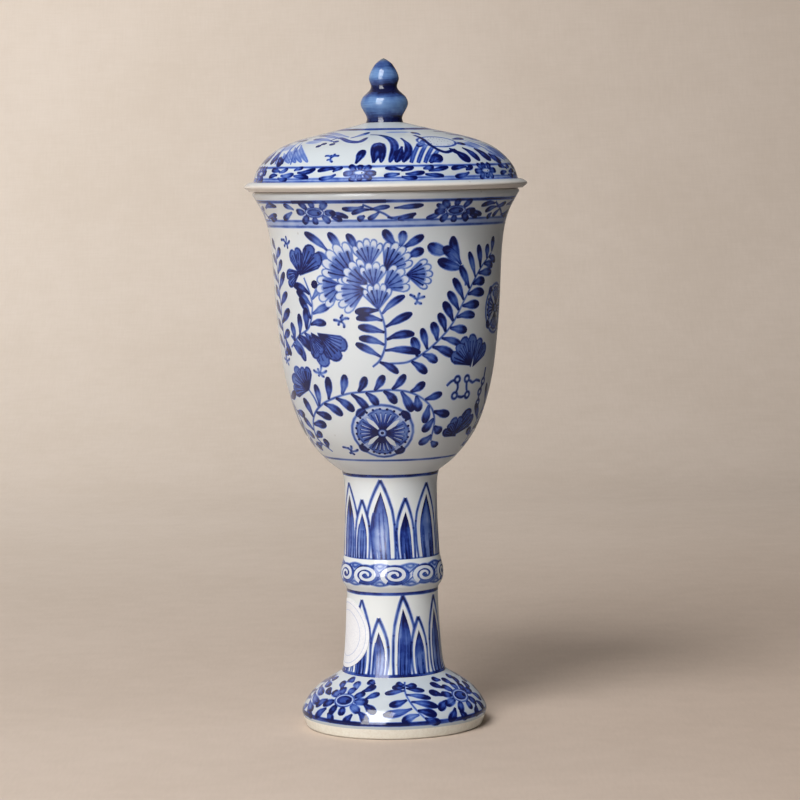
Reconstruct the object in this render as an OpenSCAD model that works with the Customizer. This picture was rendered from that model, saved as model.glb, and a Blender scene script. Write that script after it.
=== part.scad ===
// Covered stem cup: bell-shaped bowl on a hollow ringed stem, with a lift-off domed cover
// Millimetres, +Z up, origin at the centre of the standing face of the foot

/* [Foot] */
// Height of the spread foot up to the stem joint
foot_h = 21.4; // [19:0.1:26]
// Radius of the outer edge of the standing rim
foot_rim_r = 34.5; // [31:0.1:38]
// Width of the flat standing rim
foot_rim_w = 4.6; // [3:0.1:7]
// Radius at the top of the bare clay band
foot_band_r = 35.8; // [33.5:0.1:38.5]
// Height of the bare clay band
foot_band_z = 4.4; // [3:0.1:4.8]
// Largest radius of the foot, just above the bare clay band
foot_swell_r = 36.2; // [34:0.1:41]
// Height of that largest radius
foot_swell_z = 6.4; // [5.6:0.1:8]
// Radius of the dome half way up the foot
foot_dome_r = 31.4; // [27:0.1:34]
// Height of that place on the dome
foot_dome_z = 13.9; // [12:0.1:16]
// Thickness of the foot's wall
foot_wall = 5.2; // [4:0.1:7]
// Small round on the outer standing edge
foot_round = 0.6; // [0.3:0.1:1.2]

/* [Stem] */
// Height of the lower stem
lower_stem_h = 33; // [24:0.5:48]
// Stem radius where it stands on the foot
stem_low_r = 20.4; // [19:0.1:24]
// Stem radius a little above the foot
stem_spread_r = 19.4; // [18:0.1:22]
// Height above the foot of that radius
stem_spread_z = 4; // [3:0.1:6]
// Narrowest radius of the lower stem
lower_waist_r = 17.85; // [16.5:0.05:20]
// Distance of the lower waist below the ring
lower_waist_drop = 5; // [4:0.1:8]
// Stem radius under the ring
stem_mid_r = 18; // [16.5:0.05:20]
// Height of the stem ring
ring_h = 12.6; // [9:0.1:18]
// Largest radius of the stem ring
ring_r = 20.1; // [19.4:0.1:24]
// Stem radius on top of the ring
stem_high_r = 18.8; // [17:0.1:19.3]
// Height of the upper stem
upper_stem_h = 33.2; // [24:0.2:48]
// Narrowest radius of the upper stem
upper_waist_r = 18.05; // [16.5:0.05:20]
// Height of the upper waist above the ring
upper_waist_z = 17; // [12:0.5:19]
// Stem radius just below the bowl
stem_neck_r = 18.3; // [16.5:0.1:20]
// Distance of that radius below the bowl
stem_neck_drop = 3.2; // [2:0.1:4.5]
// Radius of the hollow inside the stem
bore_r = 11; // [9:0.1:12.2]

/* [Bowl] */
// Height of the bowl from the stem to the top of the lip
bowl_h = 109.2; // [100:0.2:135]
// Radius where the bowl meets the stem
bowl_base_r = 19; // [17.5:0.1:21]
// Radius of the heel of the bowl
heel_r = 25; // [23:0.1:28]
// Height of the heel above the stem
heel_z = 4.7; // [4:0.1:6]
// Radius where the side turns upwards
turn_r = 33.4; // [31:0.1:36]
// Height of the turn above the stem
turn_z = 15.6; // [13:0.1:18]
// Radius of the belly
belly_r = 39.6; // [38:0.1:42]
// Height of the belly above the stem
belly_z = 33.4; // [28:0.2:38]
// Radius half way up the side
side_r = 43; // [41.5:0.1:45]
// Height of that radius above the stem
side_z = 58; // [50:0.5:66]
// Radius of the throat below the flared lip
throat_r = 45.3; // [43:0.1:47]
// Depth of the throat below the lip
throat_drop = 18.2; // [15:0.1:22]
// Radius part way out along the flare
flare_r = 47.6; // [46:0.1:50]
// Depth of that radius below the lip
flare_drop = 9; // [7:0.1:12]
// Largest radius of the lip
lip_r = 51.7; // [50:0.1:56]
// Thickness of the lip
lip_t = 3.4; // [2.6:0.1:4.2]
// Round on the outer edge of the lip
lip_round = 1.3; // [0.6:0.1:1.6]
// Thickness of the bowl's side
bowl_wall = 3.2; // [2.4:0.1:4]
// Thickness of the bowl's floor
bowl_floor = 6; // [4:0.1:8]
// Radius of the level middle of the floor
floor_r = 15; // [10:0.5:18]

/* [Cover] */
// Height of the cover from its seat to the base of the knop
cover_h = 25.8; // [22:0.2:34]
// Radius of the cover's projecting rim
rim_r = 54.9; // [53:0.1:60]
// Thickness of the rim where it leaves the dome
rim_t = 3.6; // [2.8:0.1:4.4]
// Radius of the dome where it stands on the rim
dome_foot_r = 51.3; // [49:0.1:52.4]
// Radius of the dome's upright side
dome_side_r = 49.4; // [47:0.1:51]
// Height of that radius above the seat
dome_side_z = 8.6; // [7:0.1:10]
// Radius of the dome's shoulder
dome_turn_r = 43.3; // [40:0.1:45]
// Height of the shoulder above the seat
dome_turn_z = 15; // [13:0.1:16.5]
// Radius where the shoulder flattens
dome_flat_r = 34.6; // [30:0.1:37]
// Height of that place above the seat
dome_flat_z = 19.1; // [17.4:0.1:20]
// Radius of the ring line round the crown
crown_r = 17.8; // [14:0.1:22]
// Depth of that ring below the base of the knop
crown_drop = 2.6; // [1.6:0.1:3.6]
// Thickness of the cover's wall
cover_wall = 3.8; // [3:0.1:5]
// Thickness of the cover's crown under the knop
crown_t = 5.6; // [5:0.1:8]
// Depth of the locating collar below the seat
collar_h = 8; // [5:0.1:11]
// Thickness of the locating collar
collar_t = 3; // [2.2:0.1:4]
// Gap all round between the collar and the bowl
collar_gap = 1.4; // [0.8:0.1:2.4]
// Depth of the collar's groove in the cover
groove_h = 1; // [0.6:0.1:1.6]

/* [Knop] */
// Height of the knop
knop_h = 24.8; // [22:0.1:32]
// Radius of the base of the knop
knop_base_r = 7.2; // [6:0.1:9]
// Radius of the waist above the base
knop_waist_r = 6.85; // [5:0.05:7.1]
// Height of that waist
knop_waist_z = 1.8; // [1.4:0.1:2.6]
// Radius of the lower bulb
knop_bulb_r = 9.2; // [8:0.1:12]
// Height of the lower bulb
knop_bulb_z = 7; // [6:0.1:8]
// Radius of the lower bulb's shoulder
knop_shoulder_r = 8.5; // [7:0.1:11]
// Height of that shoulder
knop_shoulder_z = 9.6; // [9:0.1:10.6]
// Radius of the neck between the bulbs
knop_neck_r = 5.1; // [4:0.1:5.6]
// Height of that neck
knop_neck_z = 13.4; // [12:0.1:14.4]
// Radius of the upper bulb
knop_bud_r = 5.8; // [5.2:0.1:8]
// Height of the upper bulb
knop_bud_z = 17.2; // [16.4:0.1:18.4]
// Radius of the tip
knop_tip_r = 1.2; // [0.8:0.1:2]
// Radius of the pin that locates the knop
knop_pin_r = 4; // [3:0.1:5]

/* [Paper label] */
// Diameter of the round paper label
label_d = 27; // [20:0.5:30]
// Height of its centre above the foot
label_z = 15.8; // [14:0.1:18]
// Direction it faces round the stem, in degrees from the front towards the left
label_turn = 72; // [0:1:180]
// Thickness of the paper
label_t = 0.2; // [0.15:0.01:0.4]
// Thickness of the gum under the paper
label_gum = 0.05; // [0.02:0.01:0.1]

/* [Luted joints] */
// Depth of the locating spigots between the sections
spigot_h = 2.4; // [1.6:0.1:3]
// Thickness of the locating spigots
spigot_t = 2.4; // [1.8:0.1:3]
// Slip film left round each spigot
slip = 0.2; // [0.1:0.05:0.4]

/* [Hidden] */
$fn = 96;
steps = 6;
lower_stem_z = foot_h;
ring_z = lower_stem_z + lower_stem_h;
upper_stem_z = ring_z + ring_h;
bowl_z = upper_stem_z + upper_stem_h;
seat_z = bowl_z + bowl_h;
knop_z = seat_z + cover_h;
spigot_r = bore_r + spigot_t;
mouth_r = lip_r - lip_t;
collar_r = flare_r - bowl_wall - collar_gap;
hollow_r = collar_r - collar_t - slip;

// Which piece is drawn

// Curve through stations: each span bends as its neighbours ask, with no overshoot
function knot(a, b) = sqrt(norm(b - a));
function pull(a, b, c, ab, bc) = (b - a) / ab - (c - a) / (ab + bc) + (c - b) / bc;
function span(a, b, c, d, u) =
    let (ab = knot(a, b), bc = knot(b, c), cd = knot(c, d))
    let (m = bc * pull(a, b, c, ab, bc), n = bc * pull(b, c, d, bc, cd))
    b + m * u + (3 * (c - b) - 2 * m - n) * u * u + (2 * (b - c) + m + n) * u * u * u;
function before(p, i) = i == 0 ? 2 * p[0] - p[1] : p[i - 1];
function after(p, i) = i == len(p) - 1 ? 2 * p[i] - p[i - 1] : p[i + 1];
function curve(p) = [
    for (i = [0:len(p) - 2])
        for (k = [i == 0 ? 0 : 1:steps])
            span(before(p, i), p[i], p[i + 1], after(p, i + 1), k / steps)
];
// Stations moved towards the axis side of a curve that runs upwards
function inward(p, i, t) =
    let (d = after(p, i) - before(p, i))
    p[i] + t * [-d[1], d[0]] / norm(d);
function reversed(p) = [for (i = [len(p) - 1:-1:0]) p[i]];
function corner(centre, r, from, to) = [
    for (k = [0:4])
        centre + r * [cos(from + (to - from) * k / 4), sin(from + (to - from) * k / 4)]
];

// Stations of each section's outside, from the bottom up
foot_side = [
    [foot_rim_r, foot_round],
    [foot_band_r, foot_band_z],
    [foot_swell_r, foot_swell_z],
    [foot_dome_r, foot_dome_z],
    [stem_low_r, foot_h]
];
lower_side = [
    [stem_low_r, 0],
    [stem_spread_r, stem_spread_z],
    [lower_waist_r, lower_stem_h - lower_waist_drop],
    [stem_mid_r, lower_stem_h]
];
ring_side = [
    [stem_mid_r, 0],
    [(stem_mid_r + 4 * ring_r) / 5, ring_h * 0.22],
    [ring_r, ring_h / 2],
    [stem_high_r, ring_h]
];
upper_side = [
    [stem_high_r, 0],
    [upper_waist_r, upper_waist_z],
    [stem_neck_r, upper_stem_h - stem_neck_drop],
    [bowl_base_r, upper_stem_h]
];
bowl_side = [
    [bowl_base_r, 0],
    [heel_r, heel_z],
    [turn_r, turn_z],
    [belly_r, belly_z],
    [side_r, side_z],
    [throat_r, bowl_h - throat_drop],
    [flare_r, bowl_h - flare_drop],
    [lip_r, bowl_h - lip_round]
];
dome_side = [
    [dome_foot_r, rim_t],
    [dome_side_r, dome_side_z],
    [dome_turn_r, dome_turn_z],
    [dome_flat_r, dome_flat_z],
    [crown_r, cover_h - crown_drop],
    [knop_base_r, cover_h]
];
rim_edge = [
    [rim_r - rim_t / 2, 0],
    [rim_r, rim_t / 2],
    [(rim_r + dome_foot_r) / 2, rim_t * 0.9],
    [dome_foot_r, rim_t]
];
knop_side = [
    [knop_base_r, 0],
    [knop_waist_r, knop_waist_z],
    [knop_bulb_r, knop_bulb_z],
    [knop_shoulder_r, knop_shoulder_z],
    [knop_neck_r, knop_neck_z],
    [knop_bud_r, knop_bud_z],
    [(knop_bud_r + knop_tip_r) / 2, (knop_bud_z + 2 * knop_h) / 3],
    [knop_tip_r, knop_h - knop_tip_r / 2]
];

// Spread foot, hollow underneath and open into the stem
module foot() {
    hollow = [
        [foot_rim_r - foot_rim_w, 0],
        inward(foot_side, 2, foot_wall),
        inward(foot_side, 3, foot_wall),
        [bore_r, foot_h - foot_wall - spigot_h]
    ];
    color("#f1efe6")
    rotate_extrude()
    polygon(concat(
        [[foot_rim_r - foot_round, 0]],
        curve(foot_side),
        [[spigot_r + slip, foot_h], [spigot_r + slip, foot_h - spigot_h - slip]],
        [[bore_r, foot_h - spigot_h - slip]],
        reversed(curve(hollow))
    ));
}

// One hollow stem section, with a spigot below and a socket above
module stem_section(side, h) {
    rotate_extrude()
    polygon(concat(
        [[bore_r, -spigot_h], [spigot_r, -spigot_h], [spigot_r, 0]],
        curve(side),
        [[spigot_r + slip, h], [spigot_r + slip, h - spigot_h - slip]],
        [[bore_r, h - spigot_h - slip]]
    ));
}

// Lower stem, spreading towards the foot
module lower_stem() {
    color("#eceef0")
    translate([0, 0, lower_stem_z])
    stem_section(lower_side, lower_stem_h);
}

// Rounded ring like the node of a bamboo cane
module stem_ring() {
    color("#d9e0ec")
    translate([0, 0, ring_z])
    stem_section(ring_side, ring_h);
}

// Upper stem, nearly straight
module upper_stem() {
    color("#eceef0")
    translate([0, 0, upper_stem_z])
    stem_section(upper_side, upper_stem_h);
}

// Bell-shaped bowl with a flared lip and a level land for the cover
module bowl() {
    inside = [
        [floor_r, bowl_floor],
        inward(bowl_side, 2, bowl_wall),
        inward(bowl_side, 3, bowl_wall),
        inward(bowl_side, 4, bowl_wall),
        inward(bowl_side, 5, bowl_wall),
        inward(bowl_side, 6, bowl_wall),
        [mouth_r, bowl_h - lip_round / 2]
    ];
    color("#eef0f2")
    translate([0, 0, bowl_z])
    rotate_extrude()
    polygon(concat(
        [[0, -spigot_h], [spigot_r, -spigot_h], [spigot_r, 0]],
        curve(bowl_side),
        corner([lip_r - lip_round, bowl_h - lip_round], lip_round, 15, 90),
        [[mouth_r + lip_round / 2, bowl_h]],
        reversed(curve(inside)),
        [[0, bowl_floor]]
    ));
}

// Domed cover with a projecting rim, hollow inside
module cover() {
    hollow = [
        [hollow_r, 0],
        inward(dome_side, 2, cover_wall),
        inward(dome_side, 3, cover_wall),
        [knop_base_r, cover_h - crown_t]
    ];
    color("#e6ebf3")
    translate([0, 0, seat_z])
    difference() {
        rotate_extrude()
        polygon(concat(
            curve(rim_edge),
            curve(dome_side),
            [[0, cover_h], [0, cover_h - crown_t]],
            reversed(curve(hollow))
        ));
        // Groove that locates the collar
        rotate_extrude()
        translate([hollow_r, -1])
        square([collar_t + 2 * slip, groove_h + 1]);
        // Socket that locates the knop
        translate([0, 0, cover_h - spigot_h - slip])
        cylinder(h = spigot_h + slip + 1, r = knop_pin_r + slip);
    }
}

// Ring under the cover that drops inside the bowl's mouth
module locating_collar() {
    color("#f4f1ea")
    translate([0, 0, seat_z])
    rotate_extrude()
    translate([collar_r - collar_t, -collar_h])
    square([collar_t, collar_h + groove_h]);
}

// Double-bulbed knop with a locating pin
module knop() {
    color("#5f88b8")
    translate([0, 0, knop_z])
    rotate_extrude()
    polygon(concat(
        [[0, -spigot_h], [knop_pin_r, -spigot_h], [knop_pin_r, 0]],
        curve(knop_side),
        [[0, knop_h]]
    ));
}

// Blank round paper label gummed to the lower stem
module paper_label() {
    under = [for (p = curve(lower_side)) p + [label_gum, 0]];
    over = [for (p = curve(lower_side)) p + [label_gum + label_t, 0]];
    color("#f7f6f2")
    translate([0, 0, lower_stem_z])
    intersection() {
        rotate_extrude()
        polygon(concat(under, reversed(over)));
        rotate([0, 0, -label_turn])
        translate([0, 0, label_z])
        rotate([90, 0, 0])
        cylinder(h = stem_low_r + 2, r = label_d / 2);
    }
}

foot();
lower_stem();
stem_ring();
upper_stem();
bowl();
cover();
locating_collar();
knop();
paper_label();
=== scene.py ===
"""Looks of a covered stem cup in blue-and-white porcelain.

Every turned section takes its outline from its CAD solid. The painted outside of a section is unrolled
to a canvas, brush strokes are laid on it, and the canvas is cut along the strokes, so that each stroke
is its own patch of faces with its own depth of cobalt.
"""

import logging
import math
import random
from dataclasses import dataclass
from enum import Enum
from typing import ClassVar, Iterable, Optional, Sequence, Union

import bmesh
import bpy
import numpy as np
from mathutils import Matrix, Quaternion, Vector
from mathutils.geometry import delaunay_2d_cdt


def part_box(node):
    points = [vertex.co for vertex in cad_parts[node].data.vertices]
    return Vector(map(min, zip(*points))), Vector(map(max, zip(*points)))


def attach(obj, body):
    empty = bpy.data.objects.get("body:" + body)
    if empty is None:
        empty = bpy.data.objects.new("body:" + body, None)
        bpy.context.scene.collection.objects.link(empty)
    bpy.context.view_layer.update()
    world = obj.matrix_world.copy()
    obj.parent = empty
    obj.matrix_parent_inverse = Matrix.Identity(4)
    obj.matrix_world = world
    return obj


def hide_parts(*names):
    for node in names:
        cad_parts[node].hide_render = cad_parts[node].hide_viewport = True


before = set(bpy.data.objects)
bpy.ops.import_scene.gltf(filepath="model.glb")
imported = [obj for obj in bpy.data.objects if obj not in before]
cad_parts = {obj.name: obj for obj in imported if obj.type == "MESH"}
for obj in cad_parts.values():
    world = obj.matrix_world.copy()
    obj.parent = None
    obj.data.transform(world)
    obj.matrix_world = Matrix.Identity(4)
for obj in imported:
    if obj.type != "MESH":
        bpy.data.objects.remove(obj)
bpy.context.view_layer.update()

LOG = logging.getLogger("stem_cup")
MM = 0.001
TURN = 2 * math.pi

# Faces round a turned piece, and the largest step up its wall in millimetres.
COLUMNS = 128
ROW_GAP = 2.4

# The bake map: the wall fills it from this height up, and the inside lies below with a gap between.
BAKE_MAP = "OFBake"
WALL_FROM = 0.26
MAP_GAP = 0.02

SEED = 1723

Point = tuple[float, float]
Spot = tuple[float, float]
Place = tuple[float, float, float]
Blade = tuple[float, float, float, float]
Oval = tuple[float, float, float, float]
Band = tuple[float, float, float, float]
Colour = tuple[float, float, float, float]
Angles = tuple[float, ...]
Points = tuple[Point, ...]
Blades = tuple[Blade, ...]
Stops = Sequence[tuple[float, Colour]]
Amount = Union[float, Sequence[float], np.ndarray]


def srgb(red: int, green: int, blue: int) -> Colour:
    """Turn a colour as it is seen on a screen into the linear colour that shaders use.

    Args:
        red: Red, 0 to 255.
        green: Green, 0 to 255.
        blue: Blue, 0 to 255.

    Returns:
        The linear colour with full alpha.
    """
    def linear(level: int) -> float:
        """Undo the screen's curve for one channel."""
        share = level / 255
        return share / 12.92 if share <= 0.04045 else ((share + 0.055) / 1.055) ** 2.4

    return linear(red), linear(green), linear(blue), 1.0


class Wire:
    """A shader value that takes part in Python arithmetic."""

    def __init__(self, graph: "ShaderGraph", socket: bpy.types.NodeSocket) -> None:
        """Keep the socket and the graph that it belongs to."""
        self.graph = graph
        self.socket = socket

    def _maths(self, operation: str, first: "Operand", second: "Operand") -> "Wire":
        """Add one Math node."""
        return self.graph.node("ShaderNodeMath", {"operation": operation}, {0: first, 1: second})[0]

    def __add__(self, other: "Operand") -> "Wire":
        """Add."""
        return self._maths("ADD", self, other)

    __radd__ = __add__

    def __sub__(self, other: "Operand") -> "Wire":
        """Take away."""
        return self._maths("SUBTRACT", self, other)

    def __rsub__(self, other: "Operand") -> "Wire":
        """Take this away from a number."""
        return self._maths("SUBTRACT", other, self)

    def __mul__(self, other: "Operand") -> "Wire":
        """Multiply."""
        return self._maths("MULTIPLY", self, other)

    __rmul__ = __mul__

    def __truediv__(self, other: "Operand") -> "Wire":
        """Divide."""
        return self._maths("DIVIDE", self, other)

    def __rtruediv__(self, other: "Operand") -> "Wire":
        """Divide a number by this."""
        return self._maths("DIVIDE", other, self)

    def limited(self) -> "Wire":
        """Keep the value between 0 and 1."""
        return self.graph.node("ShaderNodeClamp", {}, {0: self})[0]

    def ease(self, low: float, high: float) -> "Wire":
        """Rise smoothly from 0 at low to 1 at high."""
        settings = {"interpolation_type": "SMOOTHSTEP"}
        return self.graph.node("ShaderNodeMapRange", settings, {0: self, 1: low, 2: high})[0]


Operand = Union[Wire, float]


class ShaderGraph:
    """The node tree of one material or world."""

    def __init__(self, owner: Union[bpy.types.Material, bpy.types.World]) -> None:
        """Clear the owner's node tree."""
        owner.use_nodes = True
        self.tree = owner.node_tree
        self.tree.nodes.clear()

    def node(self, kind: str, settings: dict, inputs: dict) -> list[Wire]:
        """Add a node, set it up and feed it.

        Args:
            kind: The node's type.
            settings: Its properties; "stops" holds the stops of a colour ramp.
            inputs: A value or a wire for each socket, by name or number.

        Returns:
            The node's outputs in their order.
        """
        made = self.tree.nodes.new(kind)
        for name, value in settings.items():
            if name == "stops":
                self._set_stops(made.color_ramp, value)
            else:
                setattr(made, name, value)
        for key, value in inputs.items():
            if isinstance(value, Wire):
                self.tree.links.new(value.socket, made.inputs[key])
            else:
                made.inputs[key].default_value = value
        return [Wire(self, socket) for socket in made.outputs]

    @staticmethod
    def _set_stops(ramp: bpy.types.ColorRamp, stops: Stops) -> None:
        """Give a colour ramp its stops.

        Args:
            ramp: The ramp of a new node.
            stops: Place and colour of each stop.
        """
        while len(ramp.elements) < len(stops):
            ramp.elements.new(1.0)
        for element, (place, colour) in zip(ramp.elements, stops):
            element.position = place
            element.color = colour

    def position(self) -> Wire:
        """Return the place on the object in its own frame, in metres."""
        return self.node("ShaderNodeTexCoord", {}, {})[3]

    def height(self) -> Wire:
        """Return the height on the object, in millimetres."""
        return self.node("ShaderNodeSeparateXYZ", {}, {0: self.position()})[2] * (1 / MM)

    def attribute(self, name: str) -> tuple[Wire, Wire]:
        """Return an attribute of the mesh as a vector and as a number."""
        outputs = self.node("ShaderNodeAttribute", {"attribute_name": name}, {})
        return outputs[1], outputs[2]

    def stretch(self, vector: Wire, factors: Place) -> Wire:
        """Scale a vector along each axis."""
        return self.node("ShaderNodeVectorMath", {"operation": "MULTIPLY"}, {0: vector, 1: factors})[0]

    def noise(self, vector: Wire, scale: float, detail: float = 3.0, rough: float = 0.55) -> Wire:
        """Return soft noise between 0 and 1 over a vector."""
        inputs = {"Vector": vector, "Scale": scale, "Detail": detail, "Roughness": rough}
        return self.node("ShaderNodeTexNoise", {}, inputs)[0]

    def ramp(self, value: Wire, stops: Stops) -> Wire:
        """Turn a value into a colour through stops."""
        return self.node("ShaderNodeValToRGB", {"stops": stops}, {0: value})[0]

    def mix(self, share: Operand, first: Union[Wire, Colour], second: Union[Wire, Colour]) -> Wire:
        """Mix two colours."""
        return self.node("ShaderNodeMix", {"data_type": "RGBA"}, {0: share, 6: first, 7: second})[2]

    def bump(self, height: Wire, strength: float, distance: float) -> Wire:
        """Turn a relief in metres into a normal."""
        inputs = {"Strength": strength, "Distance": distance, "Height": height}
        return self.node("ShaderNodeBump", {}, inputs)[0]

    def surface(self, inputs: dict) -> None:
        """End the material in a principled surface with these inputs."""
        shader = self.node("ShaderNodeBsdfPrincipled", {}, inputs)[0]
        self.node("ShaderNodeOutputMaterial", {}, {"Surface": shader})


@dataclass(frozen=True)
class Cobalt:
    """Underglaze blue, from the palest wash to a heaped dark."""

    stops: Stops = (
        (0.0, srgb(204, 211, 223)),
        (0.2, srgb(158, 173, 210)),
        (0.4, srgb(102, 127, 188)),
        (0.6, srgb(60, 88, 164)),
        (0.8, srgb(31, 51, 129)),
        (1.0, srgb(13, 18, 72)),
    )


KNOP_BLUE = Cobalt((
    (0.0, srgb(176, 194, 214)),
    (0.3, srgb(116, 150, 194)),
    (0.5, srgb(80, 112, 164)),
    (0.7, srgb(46, 68, 124)),
    (1.0, srgb(14, 18, 58)),
))


@dataclass(frozen=True)
class Finish:
    """A procedural material.

    Attributes:
        name: The material's name.
    """

    name: str

    def make(self) -> bpy.types.Material:
        """Build the material.

        Returns:
            The material with its nodes.
        """
        material = bpy.data.materials.new(self.name)
        graph = ShaderGraph(material)
        self.fill(graph, graph.position())
        return material

    def fill(self, graph: ShaderGraph, place: Wire) -> None:
        """Add the nodes; every finish has its own."""


@dataclass(frozen=True)
class PaintedPorcelain(Finish):
    """Glazed white porcelain with cobalt under the glaze.

    Attributes:
        clay_below: Height in millimetres that the bare clay rim reaches up to.
        brown_edge: Heights in millimetres where a brown edge begins and where it is full. The second may
            be the lower one, for an edge that faces down.
        white: Colour of the glaze, which drifts to cool.
        speck_and_contact_shade: Colour of pits in the glaze, and of the clay's bottom edge: a burnt line
            and painted contact shadow.
        gloss: Strength of the glaze's mirror.
    """

    clay_below: Optional[float] = None
    brown_edge: Optional[tuple[float, float]] = None
    white: Colour = srgb(228, 230, 229)
    cool: Colour = srgb(220, 224, 227)
    clay: Colour = srgb(250, 244, 230)
    clay_dark: Colour = srgb(238, 229, 211)
    brown: Colour = srgb(176, 146, 112)
    speck_and_contact_shade: Colour = srgb(120, 92, 70)
    cobalt: Cobalt = Cobalt()
    gloss: float = 0.42

    def fill(self, graph: ShaderGraph, place: Wire) -> None:
        """Mix paint, glaze, pits, the brown edge and the bare rim, whose bottom edge has painted contact
        shadow.

        Args:
            graph: The material's graph.
            place: The place on the object.
        """
        brush, _ = graph.attribute("brush")
        _, pigment = graph.attribute("cobalt")

        streak = graph.noise(graph.stretch(brush, (0.16, 2.3, 7.0)), 1.0, 2.0, 0.6)
        mottle = graph.noise(place, 640.0, 4.0, 0.6)
        pool = graph.noise(place, 130.0, 2.0).ease(0.3, 0.7)
        depth = (pigment * (0.56 + 0.62 * streak + 0.30 * mottle) * (0.83 + 0.42 * pool)).limited()
        painted = graph.ramp(depth, self.cobalt.stops)

        drift = graph.noise(place, 26.0, 2.0)
        ground = graph.mix(drift.ease(0.35, 0.65), self.white, self.cool)
        pits = graph.node("ShaderNodeTexVoronoi", {}, {"Vector": place, "Scale": 95.0})[0]
        ground = graph.mix((1 - pits.ease(0.03, 0.075)) * 0.30, ground, self.speck_and_contact_shade)
        colour = graph.mix(pigment.ease(0.0, 0.16), ground, painted)
        rough = 0.06 + 0.04 * graph.noise(place, 210.0)

        if self.brown_edge is not None:
            low, high = self.brown_edge
            rise = graph.height() + 0.9 * graph.noise(place, 60.0)
            colour = graph.mix(rise.ease(low, high) * 0.75, colour, self.brown)
        if self.clay_below is not None:
            edge = graph.height() + 0.7 * graph.noise(place, 45.0)
            bare = 1 - edge.ease(self.clay_below, self.clay_below + 0.35)
            grain = graph.noise(place, 900.0, 5.0, 0.7)
            colour = graph.mix(bare, colour, graph.mix(grain.ease(0.3, 0.8), self.clay, self.clay_dark))
            rough = rough + bare * 0.62
            # The clay's lowest millimetre goes dark: partly a brown burnt line, partly painted contact
            # shadow where the foot meets the floor.
            burn_and_contact_shade = 1 - (graph.height() + 0.5 * graph.noise(place, 90.0)).ease(0.3, 1.0)
            colour = graph.mix(burn_and_contact_shade * 0.7, colour, self.speck_and_contact_shade)

        relief = graph.noise(place, 70.0, 2.0, 0.4)
        graph.surface({
            "Base Color": colour,
            "Roughness": rough,
            "Specular IOR Level": self.gloss,
            "Normal": graph.bump(relief, 0.12, 0.0006),
        })


@dataclass(frozen=True)
class BareClay(Finish):
    """Unglazed porcelain body, turned on the wheel."""

    light: Colour = srgb(226, 215, 195)
    dark: Colour = srgb(200, 182, 155)

    def fill(self, graph: ShaderGraph, place: Wire) -> None:
        """Mix the clay's grain with the marks of turning.

        Args:
            graph: The material's graph.
            place: The place on the object.
        """
        turning = graph.noise(graph.stretch(place, (8.0, 8.0, 1900.0)), 1.0, 2.0)
        grain = graph.noise(place, 850.0, 5.0, 0.7)
        graph.surface({
            "Base Color": graph.mix((0.5 * turning + 0.6 * grain - 0.1).limited(), self.light, self.dark),
            "Roughness": 0.66 + 0.2 * grain,
            "Normal": graph.bump(turning, 0.3, 0.0002),
        })


@dataclass(frozen=True)
class LabelPaper(Finish):
    """Matt white paper with plain printed rings of these radii in millimetres."""

    rings: tuple[float, ...] = (11.9, 9.0)
    ring_half: float = 0.16
    paper: Colour = srgb(240, 239, 240)
    shade: Colour = srgb(226, 225, 230)
    print_ink: Colour = srgb(150, 166, 205)

    def fill(self, graph: ShaderGraph, place: Wire) -> None:
        """Mix the fibres and print the rings on them.

        Args:
            graph: The material's graph.
            place: The place on the object.
        """
        fibre = graph.noise(place, 1500.0, 4.0, 0.7)
        colour = graph.mix(fibre.ease(0.3, 0.75), self.paper, self.shade)
        _, reach = graph.attribute("reach")
        for ring in self.rings:
            off = reach - ring
            near = 1 - (off * off).ease((0.6 * self.ring_half) ** 2, self.ring_half ** 2)
            colour = graph.mix(near * (0.35 + 0.5 * fibre), colour, self.print_ink)
        graph.surface({
            "Base Color": colour,
            "Roughness": 0.72 + 0.15 * fibre,
            "Normal": graph.bump(graph.noise(place, 260.0, 1.0), 0.15, 0.0002),
        })


@dataclass(frozen=True)
class StudioCloth(Finish):
    """Warm beige backdrop with a faint mottle.

    It has painted shade at the right and in front, throws less light from the right, and far off, to the
    camera, it glows in a fixed colour: painted light.
    """

    light: Colour = srgb(243, 229, 215)
    dark: Colour = srgb(235, 220, 204)
    shade: Colour = srgb(198, 179, 163)
    shade_dark: Colour = srgb(188, 169, 153)
    bounce: Colour = srgb(226, 214, 203)
    bounce_dark: Colour = srgb(120, 114, 110)
    far_glow: Colour = srgb(184, 168, 153)
    threads: tuple[Place, ...] = ((70.0, 90.0, 800.0), (800.0, 90.0, 70.0))

    def fill(self, graph: ShaderGraph, place: Wire) -> None:
        """Mix the weave, the painted shade, the thrown light and the painted far glow.

        Args:
            graph: The material's graph.
            place: The place on the object.
        """
        across, deep, _ = graph.node("ShaderNodeSeparateXYZ", {}, {0: place})
        runs = [graph.noise(graph.stretch(place, run), 1.0, 1.0) for run in self.threads]
        threads = sum(runs) / len(runs)
        mottle = 0.45 * graph.noise(place, 7.0, 4.0) + 0.2 * graph.noise(place, 60.0, 3.0) + 0.35 * threads
        cloth = graph.mix(mottle.ease(0.3, 0.7), self.light, self.dark)
        shaded = graph.mix(mottle.ease(0.3, 0.7), self.shade, self.shade_dark)
        share = (0.55 * across.ease(-0.35, 0.4) + 0.6 * (1 - deep.ease(0.1, 0.8))).limited()
        thrown = graph.mix(across.ease(-0.25, 0.3), self.bounce, self.bounce_dark)
        seen = graph.node("ShaderNodeLightPath", {}, {})[0]
        distance = graph.node("ShaderNodeVectorMath", {"operation": "LENGTH"}, {0: place})[1]
        # Far off, to the camera, the cloth turns black and glows in a fixed colour instead: painted light
        # that matches the pale background.
        far = distance.ease(1.7, 2.9) * seen
        black = (0.0, 0.0, 0.0, 1.0)
        colour = graph.mix(seen, thrown, graph.mix(share, cloth, shaded))
        graph.surface({
            "Base Color": graph.mix(far, colour, black),
            "Roughness": 0.9,
            "Emission Color": graph.mix(far, black, self.far_glow),
            "Emission Strength": 1.0,
        })


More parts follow.
